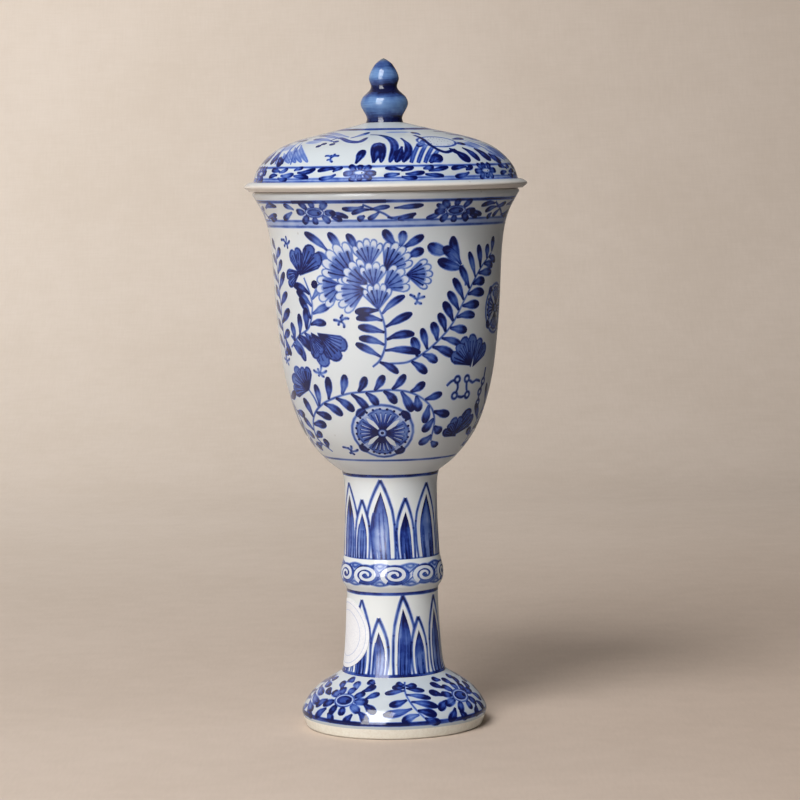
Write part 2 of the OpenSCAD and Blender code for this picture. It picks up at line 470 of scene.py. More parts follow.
@dataclass
class Outline:
    """The half section of a turned piece, read from its CAD solid.

    The wall is the outside from the joint below to the top, and the rest goes on from there round the
    inside and back. Both are lists of radius and height in millimetres.
    """

    level: ClassVar[float] = 0.02
    merge: ClassVar[float] = 1e-7
    straight: ClassVar[float] = 0.001
    axis: ClassVar[float] = 1e-4
    wall: np.ndarray
    rest: np.ndarray

    @classmethod
    def read(cls, node: str, joint: float) -> "Outline":
        """Cut a CAD node through its axis and sort the cut.

        Args:
            node: The CAD node's name.
            joint: Height of the joint that its outside starts from, in millimetres.

        Returns:
            The node's outline.
        """
        points = cls._tidy(cls._cut(node))
        radii, heights = points[:, 0], points[:, 1]
        at_joint = np.flatnonzero(np.abs(heights - joint) < cls.level)
        start = at_joint[np.argmax(radii[at_joint])]
        at_top = np.flatnonzero(np.abs(heights - heights.max()) < cls.level)
        end = at_top[np.argmax(radii[at_top])]
        points = np.roll(points, -start, axis=0)
        end = (end - start) % len(points)
        wall, rest = points[: end + 1], np.vstack([points[end:], points[:1]])
        if wall[:, 0].mean() < rest[:, 0].mean() or len(wall) < 3:
            wall, rest = rest[::-1], wall[::-1]
        return cls(wall, rest)

    @classmethod
    def _cut(cls, node: str) -> np.ndarray:
        """Cut a merged copy of a CAD node by the half plane of +X.

        Args:
            node: The CAD node's name.

        Returns:
            Radius and height of the cut's points in their order.
        """
        solid = bmesh.new()
        solid.from_mesh(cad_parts[node].data)
        bmesh.ops.remove_doubles(solid, verts=solid.verts, dist=cls.merge)
        for normal, clear in (((1, 0, 0), True), ((0, 1, 0), False)):
            cut = bmesh.ops.bisect_plane(
                solid, geom=solid.verts[:] + solid.edges[:] + solid.faces[:], dist=cls.merge,
                plane_co=(0, 0, 0), plane_no=normal, clear_inner=clear,
            )["geom_cut"]
        links: dict[bmesh.types.BMVert, list[bmesh.types.BMVert]] = {}
        for edge in (item for item in cut if isinstance(item, bmesh.types.BMEdge)):
            first, second = edge.verts
            links.setdefault(first, []).append(second)
            links.setdefault(second, []).append(first)
        ends = [vert for vert, near in links.items() if len(near) == 1]
        here = min(ends, key=lambda vert: vert.co.z) if ends else next(iter(links))
        order, seen = [here], {here}
        while step := next((vert for vert in links[here] if vert not in seen), None):
            order.append(step)
            seen.add(step)
            here = step
        loop = np.array([(vert.co.x / MM, vert.co.z / MM) for vert in order])
        solid.free()
        return loop

    @classmethod
    def _tidy(cls, points: np.ndarray) -> np.ndarray:
        """Drop points on straight runs, and turn the loop so that the outside goes up.

        Args:
            points: Radius and height of a loop's points.

        Returns:
            The points that are kept.
        """
        before, after = np.roll(points, 1, axis=0), np.roll(points, -1, axis=0)
        into, out = points - before, after - points
        cross = into[:, 0] * out[:, 1] - into[:, 1] * out[:, 0]
        base = np.linalg.norm(after - before, axis=1) + 1e-9
        kept = points[(np.abs(cross) / base > cls.straight) | (points[:, 0] < cls.axis)]
        following = np.roll(kept, -1, axis=0)
        area = (kept[:, 0] * following[:, 1] - following[:, 0] * kept[:, 1]).sum()
        return kept if area > 0 else kept[::-1]


class Wall:
    """The outside of a turned piece, unrolled to turn angle across and distance up the wall."""

    side_limit = 0.998

    def __init__(self, outline: np.ndarray) -> None:
        """Measure the wall.

        Args:
            outline: Radius and height from bottom to top, in millimetres.
        """
        rows = [outline[0]]
        for low, high in zip(outline, outline[1:]):
            parts = max(1, math.ceil(np.linalg.norm(high - low) / ROW_GAP))
            rows.extend(low + (high - low) * (part + 1) / parts for part in range(parts))
        self.radius, self.height = np.array(rows).T
        steps = np.hypot(np.diff(self.radius), np.diff(self.height))
        self.run = np.concatenate([[0.0], np.cumsum(steps)])
        self.length = float(self.run[-1])
        slope_r, slope_z = np.gradient(self.radius, self.run), np.gradient(self.height, self.run)
        size = np.hypot(slope_r, slope_z)
        self.out, self.up = slope_z / size, -slope_r / size

    def place(self, across: float, height: float, facing: float = 0.0) -> Point:
        """Find the place that is seen at a distance from the axis and a height.

        Args:
            across: Distance to the right of the axis as seen from the facing, in millimetres.
            height: Height in millimetres.
            facing: Angle that the wall is seen from, in radians, with the front at 0.

        Returns:
            Turn angle and distance up the wall.
        """
        radius = float(np.interp(height, self.height, self.radius))
        share = max(-self.side_limit, min(self.side_limit, across / radius))
        return facing + math.asin(share), float(np.interp(height, self.height, self.run))

    def radius_at(self, run: np.ndarray) -> np.ndarray:
        """Return the radius at distances up the wall."""
        return np.interp(run, self.run, self.radius)

    def points(self, turn: np.ndarray, run: np.ndarray, lift: float = 0.0) -> np.ndarray:
        """Return places on the wall in metres.

        Args:
            turn: Turn angles.
            run: Distances up the wall.
            lift: Distance off the wall, in millimetres.

        Returns:
            One row of X, Y and Z for each place.
        """
        radius = self.radius_at(run) + lift
        height = np.interp(run, self.run, self.height)
        return np.stack([radius * np.sin(turn), -radius * np.cos(turn), height], axis=-1) * MM

    def normals(self, turn: np.ndarray, run: np.ndarray) -> np.ndarray:
        """Return the wall's outward directions.

        Args:
            turn: Turn angles.
            run: Distances up the wall.

        Returns:
            One row of X, Y and Z for each place.
        """
        out, up = np.interp(run, self.run, self.out), np.interp(run, self.run, self.up)
        size = np.hypot(out, up)
        return np.stack([out * np.sin(turn), -out * np.cos(turn), up], axis=-1) / size[..., None]


def side_edges(number: np.ndarray) -> list[list[int]]:
    """Return the edges up the first and the last column of a numbered grid."""
    return np.stack([number[:-1][:, [0, -1]], number[1:][:, [0, -1]]], -1).reshape(-1, 2).tolist()


class Lay(Enum):
    """How a stroke meets the paint that is under it."""

    OVER = "the deeper of the two stays"
    RESERVE = "the stroke replaces what is there"


class Patch:
    """One brush stroke on the unrolled wall, as rows of corners along the stroke."""

    sliver = 0.004
    batch = 1_000_000

    def __init__(self, corners: np.ndarray, values: np.ndarray, lay: Lay) -> None:
        """Join the rows with triangles.

        Args:
            corners: Millimetres round and up the wall, by row and by place in the row.
            values: Pigment and the brush's run at the same places.
            lay: How the stroke meets what is under it.
        """
        rows, count = corners.shape[:2]
        self.corners = corners.reshape(-1, 2)
        self.lay = lay
        self.number = np.arange(rows * count).reshape(rows, count)
        low, high = self.number[:-1, :-1].reshape(-1), self.number[1:, :-1].reshape(-1)
        halves = ((low, high, high + 1), (low, high + 1, low + 1))
        triangles = np.vstack([np.stack(half, 1) for half in halves])
        shape = self.corners[triangles]
        sides = np.roll(shape, -1, axis=1) - shape
        area = sides[:, 0, 0] * sides[:, 1, 1] - sides[:, 0, 1] * sides[:, 1, 0]
        sound = np.abs(area) > self.sliver * np.linalg.norm(sides, axis=2).max(axis=1)
        triangles = triangles[sound]
        frames = np.concatenate([self.corners[triangles], np.ones(triangles.shape + (1,))], axis=-1)
        self.inverse = np.linalg.inv(frames)
        self.values = values.reshape(len(self.corners), -1)[triangles]

    def edges(self, first: int) -> list[list[int]]:
        """List the edges along the rows and across their ends.

        Args:
            first: Number of the stroke's first corner.

        Returns:
            The numbers of each edge's two corners.
        """
        number = self.number + first
        along = np.stack([number[:, :-1], number[:, 1:]], -1).reshape(-1, 2)
        return along.tolist() + side_edges(number)

    def read(self, spots: np.ndarray) -> tuple[np.ndarray, np.ndarray]:
        """Read the stroke at places on the wall.

        Args:
            spots: Millimetres round and up the wall.

        Returns:
            The values there, and how far inside the stroke each place is, below 0 outside.
        """
        values, depths = [], []
        for few in np.array_split(spots, 1 + len(spots) * len(self.inverse) // self.batch):
            flat = np.column_stack([few, np.ones(len(few))])
            weights = (flat @ self.inverse.transpose(1, 0, 2).reshape(3, -1)).reshape(len(few), -1, 3)
            depth = weights.min(axis=2)
            best = depth.argmax(axis=1)
            every = np.arange(len(few))
            values.append(np.einsum("sc,scv->sv", weights[every, best], self.values[best]))
            depths.append(depth[every, best])
        return np.vstack(values), np.concatenate(depths)


class Canvas:
    """An unrolled wall and the strokes laid on it.

    No stroke comes nearer to the wall's bottom or top than the edge, and every stroke has one of a number
    of seeds for its streaks.
    """

    edge = 0.06
    seeds = 97
    deepest = 1.2

    def __init__(self, wall: Wall, ground: Sequence[Point]) -> None:
        """Start with a bare wall.

        Args:
            wall: The wall to paint.
            ground: Heights in millimetres and the depth of the wash that covers the wall there.
        """
        self.wall = wall
        self.ground = ground
        self.scale = float(wall.radius.mean())
        self.patches: list[Patch] = []

    def lay(self, corners: np.ndarray, tones: np.ndarray, grain: np.ndarray, lay: Lay = Lay.OVER) -> None:
        """Lay one stroke.

        Args:
            corners: Turn angle and distance up the wall, by row and by place in the row.
            tones: Depth of pigment at the same places.
            grain: Millimetres along and across the stroke at the same places.
            lay: How the stroke meets what is under it.
        """
        corners = np.array(corners, float)
        middle = (corners[..., 0].min() + corners[..., 0].max()) / 2
        corners[..., 0] -= TURN * round(middle / TURN)
        corners[..., 1] = corners[..., 1].clip(self.edge, self.wall.length - self.edge)
        seed = np.full(tones.shape + (1,), float(len(self.patches) % self.seeds))
        values = np.concatenate([tones[..., None], grain, seed], axis=-1)
        for shift in (0.0, -TURN, TURN):
            moved = corners + (shift, 0.0)
            if moved[..., 0].max() > -math.pi and moved[..., 0].min() < math.pi:
                patch = Patch(moved * (self.scale, 1.0), values, lay)
                if len(patch.inverse):
                    self.patches.append(patch)

    def imprint(self) -> bpy.types.Mesh:
        """Cut the wall along the strokes.

        Returns:
            A mesh of the wall with the pigment, the brush's run, normals and the bake map on it.
        """
        grid, edges = self._grid()
        places = [grid]
        first = len(grid)
        for patch in self.patches:
            edges += patch.edges(first)
            places.append(patch.corners)
            first += len(patch.corners)
        verts = [Vector(place) for place in np.vstack(places).tolist()]
        found = delaunay_2d_cdt(verts, edges, [], 0, 1e-5, False)
        places, cut = np.array([tuple(place) for place in found[0]]), np.array(found[2], int)
        middle = places[cut].mean(axis=1)
        half = math.pi * self.scale
        kept = (np.abs(middle[:, 0]) < half) & (middle[:, 1] > 0) & (middle[:, 1] < self.wall.length)
        cut, middle = cut[kept], middle[kept]
        tone, brush = self._blend(places, cut, middle)
        return self._mesh(places / (self.scale, 1.0), cut, tone, brush)

    def _grid(self) -> tuple[np.ndarray, list[list[int]]]:
        """Lay out the bare wall.

        Returns:
            The wall's own points, and the edges along its seam, bottom and top.
        """
        turns = np.linspace(-math.pi, math.pi, COLUMNS + 1) * self.scale
        grid = np.stack(np.meshgrid(turns, self.wall.run), axis=-1).reshape(-1, 2)
        number = np.arange(len(grid)).reshape(-1, COLUMNS + 1)
        rows = np.stack([number[[0, -1], :-1], number[[0, -1], 1:]], -1).reshape(-1, 2)
        return grid, rows.tolist() + side_edges(number)

    def _blend(
        self, places: np.ndarray, cut: np.ndarray, middle: np.ndarray
    ) -> tuple[np.ndarray, np.ndarray]:
        """Work out the paint at each corner, stroke by stroke in painting order.

        Args:
            places: Millimetres round and up the wall.
            cut: The places of each face's three corners.
            middle: The middle of each face.

        Returns:
            The pigment and the brush's run at each corner of each face.
        """
        heights = np.interp(places[:, 1], self.wall.run, self.wall.height)
        tone = profile(self.ground, heights)[cut]
        brush = np.concatenate([places[cut], np.zeros(cut.shape + (1,))], axis=-1)
        for patch in self.patches:
            low, high = patch.corners.min(axis=0), patch.corners.max(axis=0)
            near = np.flatnonzero(((middle > low) & (middle < high)).all(axis=1))
            if not len(near):
                continue
            faces = near[patch.read(middle[near])[1] > -1e-6]
            spots, where = np.unique(cut[faces], return_inverse=True)
            if not len(spots):
                continue
            found = patch.read(places[spots])[0][where.reshape(-1, 3)]
            laid = found[..., 0].clip(0.0, self.deepest)
            tone[faces] = laid if patch.lay is Lay.RESERVE else np.maximum(tone[faces], laid)
            brush[faces] = found[..., 1:]
        return tone, brush

    def _mesh(
        self, places: np.ndarray, cut: np.ndarray, tone: np.ndarray, brush: np.ndarray
    ) -> bpy.types.Mesh:
        """Roll the cut wall up again.

        Args:
            places: Turn angle and distance up the wall.
            cut: The places of each face's three corners.
            tone: Pigment at each corner of each face.
            brush: The brush's run at each corner of each face.

        Returns:
            The mesh with its attributes and bake map.
        """
        turn, run = places.T
        mesh = bpy.data.meshes.new("wall")
        mesh.from_pydata(self.wall.points(turn, run).tolist(), [], cut.tolist())
        corner = cut.reshape(-1)
        fields = (
            ("cobalt", "FLOAT", "value", tone.reshape(-1)),
            ("brush", "FLOAT_VECTOR", "vector", brush.reshape(-1)),
            ("outward", "FLOAT_VECTOR", "vector", self.wall.normals(turn, run)[corner].reshape(-1)),
        )
        for name, kind, slot, data in fields:
            mesh.attributes.new(name, kind, "CORNER").data.foreach_set(slot, data.astype(np.float32))
        up = WALL_FROM + (1 - WALL_FROM) * run / self.wall.length
        flat = np.column_stack([turn / TURN + 0.5, up])[corner].reshape(-1)
        mesh.uv_layers.new(name=BAKE_MAP).uv.foreach_set("vector", flat.astype(np.float32))
        return mesh


def smooth_path(points: Sequence[Point], step: float) -> np.ndarray:
    """Draw a smooth line through points.

    Args:
        points: The points.
        step: Distance between the places on the line.

    Returns:
        Places on the line, the first and last point among them.
    """
    knots = np.array(points, float)
    padded = np.vstack([2 * knots[0] - knots[1], knots, 2 * knots[-1] - knots[-2]])
    places = [knots[0]]
    for before, start, end, after in zip(padded, padded[1:], padded[2:], padded[3:]):
        parts = max(2, math.ceil(np.linalg.norm(end - start) / step))
        for part in range(1, parts + 1):
            t = part / parts
            places.append(0.5 * (2 * start + (end - before) * t
                                 + (2 * before - 5 * start + 4 * end - after) * t ** 2
                                 + (3 * start - before - 3 * end + after) * t ** 3))
    return np.array(places)


def profile(stops: Sequence[Point], shares: np.ndarray) -> np.ndarray:
    """Read a list of stops, as place and size, at shares of a length or at other places."""
    places, sizes = zip(*stops)
    return np.interp(shares, places, sizes)


def oval_reach(wide: float, high: float, angles: Union[float, np.ndarray]) -> Union[float, np.ndarray]:
    """Return the reach of an oval of these half sizes at one or more angles."""
    return wide * high / np.hypot(high * np.cos(angles), wide * np.sin(angles))


@dataclass(frozen=True)
class FanLook:
    """How a fan of petals is painted.

    Attributes:
        wash: Share of the reach and depth of pigment, from the base out.
        edge: Half width of the drawn edge.
        edge_tone: Depth of the drawn edge.
        hairs: Fine lines on each petal.
        hair_reach: Shares of the reach where the fine lines begin and end.
        hair_end: Half width of the fine lines' ends.
    """

    wash: Points
    edge: float
    edge_tone: float
    hairs: int
    hair_reach: Point
    hair_end: float


@dataclass(frozen=True)
class Spray:
    """A stem with leaves by turns on its two sides.

    Attributes:
        stem: Seen points of the stem, from its root.
        pairs: Leaves on each side.
        long: Length of a leaf.
        lean: Angle between leaf and stem, in degrees.
        twist: Angle that all leaves are turned to the left by, in degrees.
        first: Share of the stem where the leaves begin.
        last: Share of the stem where they end.
        half: Half the width of a leaf.
    """

    stem: Points
    pairs: int
    long: float
    lean: float = 62.0
    twist: float = 0.0
    first: float = 0.02
    last: float = 1.0
    half: float = 1.55


OPEN_FAN = FanLook(((0.03, 0.95), (0.45, 0.54), (0.74, 0.38), (0.81, 0.1), (1.0, 0.06)),
                   0.17, 0.52, 1, (0.25, 0.82), 0.3)
DARK_FAN = FanLook(((0.03, 1.0), (0.5, 0.5), (1.0, 0.64)), 0.2, 1.0, 3, (0.12, 0.9), 0.1)


class Painter:
    """A hand that paints on a canvas as it is seen from one side.

    Seen points are millimetres to the right of the axis and millimetres of height. Spots are places on
    the wall, as turn angle and distance up it. Lengths and widths are millimetres on the wall.
    """

    soft = 0.4
    fine = 0.62
    leaf_swell = ((0, 0.14), (0.14, 0.24), (0.3, 0.66), (0.48, 0.96), (0.68, 1.0), (0.84, 0.82),
                  (0.95, 0.48), (1.0, 0.12))
    petal_swell = ((0, 0.4), (0.2, 0.85), (0.5, 1.0), (0.8, 0.9), (1.0, 0.3))
    leaf_tone = ((0, 0.85), (0.15, 0.66), (0.42, 0.5), (0.62, 0.62), (0.8, 0.98), (1.0, 1.12))
    spray_swell = ((0, 0.62), (0.25, 1.0), (0.8, 1.0), (1.0, 0.6))
    line_swell = ((0, 0.75), (0.15, 1.0), (0.8, 0.9), (1.0, 0.6))
    arch_swell = ((0, 0.94), (0.2, 1.0), (0.45, 0.99), (0.62, 0.85), (0.76, 0.6), (0.87, 0.34),
                  (0.95, 0.13), (1.0, 0.0))
    arch_fade = ((0, 0.54), (0.3, 0.48), (0.6, 0.6), (0.8, 0.9), (1.0, 1.15))
    arch_line = ((0, 0.3), (0.6, 0.36), (0.88, 0.5), (1.0, 0.45))
    arch_depth = ((0, 0.8), (0.4, 0.76), (0.8, 0.8), (0.93, 0.95), (1, 1.1))
    tuft = ((0.3, 1.1), (1.2, 0.9), (2.0, 0.6), (2.8, 1.1), (3.9, 0.6), (5.5, 0.8))

    def __init__(self, canvas: Canvas, hand: random.Random, facing: float = 0.0) -> None:
        """Take up the brush.

        Args:
            canvas: The canvas to paint on.
            hand: Source of the small unevenness of a hand.
            facing: Side that the painter sees, in degrees, with the front at 0.
        """
        self.canvas = canvas
        self.wall = canvas.wall
        self.hand = hand
        self.facing = math.radians(facing)

    def turned(self, degrees: float) -> "Painter":
        """Return the same hand on another side."""
        return Painter(self.canvas, self.hand, math.degrees(self.facing) + degrees)

    def about(self, spread: float) -> float:
        """Return a factor near 1."""
        return 1 + self.hand.uniform(-spread, spread)

    def see(self, point: Point) -> Spot:
        """Find the spot of a seen point."""
        return self.wall.place(point[0], point[1], self.facing)

    def at(self, along: float, up: float, height: float) -> Spot:
        """Find the spot that lies along and up the wall from the side's middle at a height."""
        turn, run = self.see((0.0, height))
        return turn + along / float(self.wall.radius_at(run)), run + up

    def step(self, spot: Spot, way: float, far: float) -> Spot:
        """Go from a spot some way, with 0 to the right and a quarter turn up."""
        radius = float(self.wall.radius_at(spot[1]))
        return spot[0] + far * math.cos(way) / radius, spot[1] + far * math.sin(way)

    def gap(self, start: Spot, end: Spot) -> tuple[float, float]:
        """Return the distance and the way from one spot to another."""
        across = (end[0] - start[0]) * float(self.wall.radius_at((start[1] + end[1]) / 2))
        return math.hypot(across, end[1] - start[1]), math.atan2(end[1] - start[1], across)

    def path(self, points: Sequence[Point], step: float) -> np.ndarray:
        """Return the spots of a smooth line through seen points."""
        return np.array([self.see(point) for point in smooth_path(points, step).tolist()])

    def outward(self, middle: Spot, way: float, reaches: Iterable[float]) -> np.ndarray:
        """Return the spots at these distances some way from a middle."""
        return np.array([self.step(middle, way, reach) for reach in reaches])

    def ribbon(self, path: np.ndarray, half: Amount, tones: Amount, rim: float = 1.0,
               lay: Lay = Lay.OVER) -> None:
        """Lay a stroke along a path of spots.

        Args:
            path: The spots.
            half: Half the stroke's width at each, or at all.
            tones: Depth of pigment at each, or at all.
            rim: How much deeper the stroke is near its edges, where it fades out.
            lay: How the stroke meets what is under it.
        """
        half, tones = np.broadcast_to(half, len(path)), np.broadcast_to(tones, len(path))
        radius = self.wall.radius_at(path[:, 1])
        step = np.gradient(path, axis=0)
        step[:, 0] *= radius
        size = np.hypot(step[:, 0], step[:, 1]) + 1e-9
        side = np.column_stack([-step[:, 1] / radius, step[:, 0]]) / size[:, None]
        along = np.concatenate([[0.0], np.cumsum(size[1:])])
        if lay is Lay.RESERVE:
            lanes = ((1.0, 0.0, 1.0), (-1.0, 0.0, 1.0))
        elif half.max() < self.fine:
            lanes = ((1.0, self.soft, 0.0), (0.0, 0.0, 1.0), (-1.0, -self.soft, 0.0))
        else:
            middle = ((0.0, 0.0, 0.94),) if rim != 1.0 else ()
            lanes = ((1.0, self.soft, 0.0), (0.8, 0.0, rim), *middle,
                     (-0.8, 0.0, rim), (-1.0, -self.soft, 0.0))
        across = [half * share + spill for share, spill, _ in lanes]
        corners = np.stack([path + side * offset[:, None] for offset in across])
        depth = np.stack([tones * load for _, _, load in lanes])
        grain = np.stack([np.column_stack([along, offset]) for offset in across])
        self.canvas.lay(corners, depth, grain, lay)

    def line(self, points: Sequence[Point], half: float, tone: float, rim: float = 1.0,
             lay: Lay = Lay.OVER, swell: Sequence[Point] = line_swell) -> None:
        """Draw a line.

        Args:
            points: Seen points that it passes.
            half: Half its greatest width.
            tone: Depth of its pigment.
            rim: How much deeper its edges are.
            lay: How it meets what is under it.
            swell: Share of the greatest width along the line.
        """
        path = self.path(points, 1.0)
        width = half * profile(swell, np.linspace(0, 1, len(path)))
        self.ribbon(path, width, tone * self.about(0.08), rim, lay)

    def stroke(self, base: Spot, tip: Spot, half: float, tone: Sequence[Point], depth: float = 1.0,
               bend: float = 0.0, swell: Sequence[Point] = leaf_swell, rim: float = 1.3) -> None:
        """Press the brush once.

        Args:
            base: Where the brush comes down.
            tip: Where it lifts.
            half: Half the stroke's greatest width.
            tone: Depth of pigment along the stroke.
            depth: Factor on all of its pigment.
            bend: Sideways bow as a share of the length.
            swell: Share of the greatest width along the stroke.
            rim: How much deeper the stroke's edges are.
        """
        far, way = self.gap(base, tip)
        shares = 1 - np.linspace(1, 0, max(7, math.ceil(far / 1.25))) ** 1.6
        path = np.array(base) + np.outer(shares, np.subtract(tip, base))
        bow = bend * far * 4 * shares * (1 - shares)
        path[:, 0] -= math.sin(way) * bow / self.wall.radius_at(path[:, 1])
        path[:, 1] += math.cos(way) * bow
        self.ribbon(path, half * profile(swell, shares), profile(tone, shares) * depth, rim)

    def leaf(self, base: Spot, tip: Spot, half: float, depth: float) -> None:
        """Paint a leaf with a pressed dark tip."""
        self.stroke(base, tip, half * self.about(0.14), self.leaf_tone, depth * self.about(0.2),
                    self.hand.uniform(-0.1, 0.1))

    def blade(self, ends: Blade, half: float, depth: float = 1.0) -> None:
        """Paint a leaf between two seen points, its tip first."""
        self.leaf(*self.ends(ends), half, depth)

    def ends(self, ends: Blade) -> tuple[Spot, Spot]:
        """Find the spots of a base and a tip that are given as two seen points, the tip first."""
        return self.see(ends[2:]), self.see(ends[:2])

    def border(self, leaves: Iterable[Blade], height: float, half: float, depth: float = 1.1) -> None:
        """Paint leaves along a border.

        Args:
            leaves: Tip and base of each, in millimetres along and up the wall from the side's middle.
            height: Height of the border's middle.
            half: Half a leaf's width.
            depth: Factor on the pigment.
        """
        for tip_along, tip_up, base_along, base_up in leaves:
            base = self.at(base_along, base_up, height)
            self.leaf(base, self.at(tip_along, tip_up, height), half, depth)

    def spray(self, spray: Spray) -> None:
        """Paint a leafy stem.

        Args:
            spray: The stem and its leaves.
        """
        self.line(spray.stem, 0.3, 0.66)
        path = self.path(spray.stem, 0.7)
        gaps = [self.gap(tuple(a), tuple(b))[0] for a, b in zip(path, path[1:])]
        travelled = np.concatenate([[0.0], np.cumsum(gaps)])
        for number in range(2 * spray.pairs):
            share = spray.first + (spray.last - spray.first) * number / (2 * spray.pairs - 1)
            at = int(np.argmin(np.abs(travelled - share * travelled[-1])))
            ahead = self.gap(tuple(path[max(at - 1, 0)]), tuple(path[min(at + 1, len(path) - 1)]))[1]
            side = 1 if number % 2 else -1
            lean = side * spray.lean * self.about(0.05) * (1.1 - 0.25 * share) + spray.twist
            way = ahead + math.radians(lean)
            base = self.step(tuple(path[at]), way, 0.3)
            long = spray.long * profile(self.spray_swell, share) * self.about(0.2)
            self.stroke(base, self.step(base, way, long), spray.half * self.about(0.14), self.leaf_tone,
                        1.06 * self.about(0.2), -side * self.hand.uniform(0.0, 0.1))

    def shape(self, middle: Spot, reach: np.ndarray, angles: np.ndarray, rings: Sequence[Point],
              lay: Lay = Lay.RESERVE) -> np.ndarray:
        """Fill a rounded shape from its middle outwards.

        Args:
            middle: The spot that it spreads from.
            reach: Distance from there to the edge at each angle.
            angles: The angles, with 0 to the right and a quarter turn up.
            rings: Share of the reach and depth of pigment, from the middle out.
            lay: How the shape meets what is under it.

        Returns:
            The spots of its edge.
        """
        radius = float(self.wall.radius_at(middle[1]))
        shares = np.array([share for share, _ in rings])[:, None]
        across, up = reach * np.cos(angles) / radius, reach * np.sin(angles)
        corners = np.stack([middle[0] + shares * across, middle[1] + shares * up], axis=-1)
        tones = np.array([tone for _, tone in rings])[:, None] * np.ones(len(angles))
        grain = np.stack([shares * reach, np.ones_like(shares) * angles * 5.0], axis=-1)
        self.canvas.lay(corners, tones, grain, lay)
        return corners[-1]

    def oval(self, middle: Spot, wide: float, high: float, rings: Sequence[Point], edge: float = 0.0,
             tone: float = 0.85, lay: Lay = Lay.RESERVE) -> None:
        """Fill an oval.

        Args:
            middle: Its spot.
            wide: Half its width.
            high: Half its height.
            rings: Share of the reach and depth of pigment, from the middle out.
            edge: Half width of its drawn edge, or 0 for none.
            tone: Depth of the edge.
            lay: How it meets what is under it.
        """
        angles = np.linspace(0, TURN, 25)
        reach = oval_reach(wide, high, angles)
        border = self.shape(middle, reach, angles, rings, lay)
        if edge:
            self.ring(border[:-1], edge, tone)

    def ring(self, spots: np.ndarray, half: float, tone: float) -> None:
        """Draw a closed line through spots."""
        closed = np.vstack([spots, spots[:2]])
        self.ribbon(closed, half, [tone * self.about(0.12) for _ in closed])

    def ray(self, middle: Spot, way: float, reach: Point, half: Sequence[float], tone: float) -> None:
        """Draw a straight line outwards from a middle, with its nearest and farthest reach."""
        self.ribbon(self.outward(middle, way, np.linspace(*reach, len(half))), half, tone)

    def dot(self, middle: Spot, radius: float, tone: float) -> None:
        """Touch the wall with the brush's point."""
        angles = np.linspace(0, TURN, 9)
        self.shape(middle, np.full(len(angles), radius), angles, ((0.02, tone), (1.0, tone)), Lay.OVER)

    def fan(self, ends: Blade, look: FanLook, spread: float, lobes: int) -> None:
        """Paint a fan of petals between two seen points, its tip first.

        Args:
            ends: The fan's tip and base.
            look: How it is painted.
            spread: Half the angle of the fan, in radians.
            lobes: Number of petals.
        """
        base, tip = self.ends(ends)
        long, axis = self.gap(base, tip)
        shares = np.linspace(-1, 1, 6 * lobes + 1)
        scallop = np.abs(np.sin((shares + 1) / 2 * math.pi * lobes)) ** 0.6
        reach = long * (0.96 + 0.16 * scallop - 0.14 * shares ** 2)
        border = self.shape(base, reach, axis + shares * spread, look.wash)
        self.ring(np.vstack([[base], border]), look.edge, look.edge_tone)
        for edge in range(1, lobes):
            way = axis + (edge / lobes * 2 - 1) * spread
            self.ray(base, way, (0.5 * long, 0.95 * long), (0.06, 0.12, 0.12), look.edge_tone)
        count = look.hairs * lobes
        near, far = look.hair_reach
        for hair in range(count):
            way = axis + ((hair + 0.5) / count * 2 - 1) * spread * 0.94 + self.hand.uniform(-0.03, 0.03)
            reach = (near * long, far * long * self.about(0.05))
            self.ray(base, way, reach, (0.05, 0.08, 0.1, look.hair_end), 1.05)

    def mark(self, point: Point, size: float = 3.2) -> None:
        """Paint a small tuft of grass.

        Args:
            point: Its seen point.
            size: Length of a usual blade.
        """
        middle = self.see(point)
        for lean, long in self.tuft:
            tip = self.step(middle, lean * self.about(0.1), size * long)
            self.stroke(middle, tip, 0.46, self.leaf_tone, 1.1, self.hand.uniform(-0.25, 0.25))

    def band(self, height: float, half: float, tone: float, waver: float) -> None:
        """Draw a line all the way round.

        Args:
            height: Height of the line in millimetres.
            half: Half its width.
            tone: Depth of its pigment.
            waver: How far it strays up and down.
        """
        run = self.see((0.0, height))[1]
        steps, parts = 144, 8
        turn = np.linspace(-math.pi, math.pi, steps + 1)

        def sway(waves: Sequence[int]) -> np.ndarray:
            """Return a wave that meets itself round the wall, between -1 and 1."""
            return sum(np.sin(wave * turn + self.hand.uniform(0, 6.3)) for wave in waves) / len(waves)

        path = np.column_stack([turn, run + waver * sway((1, 2, 3, 5))])
        width = half * (1 + 0.15 * sway((4, 7, 13)))
        load = tone * (1 + 0.18 * sway((3, 8, 11)))
        for part in np.array_split(np.arange(steps), parts):
            some = np.append(part, part[-1] + 1)
            self.ribbon(path[some], width[some], load[some])

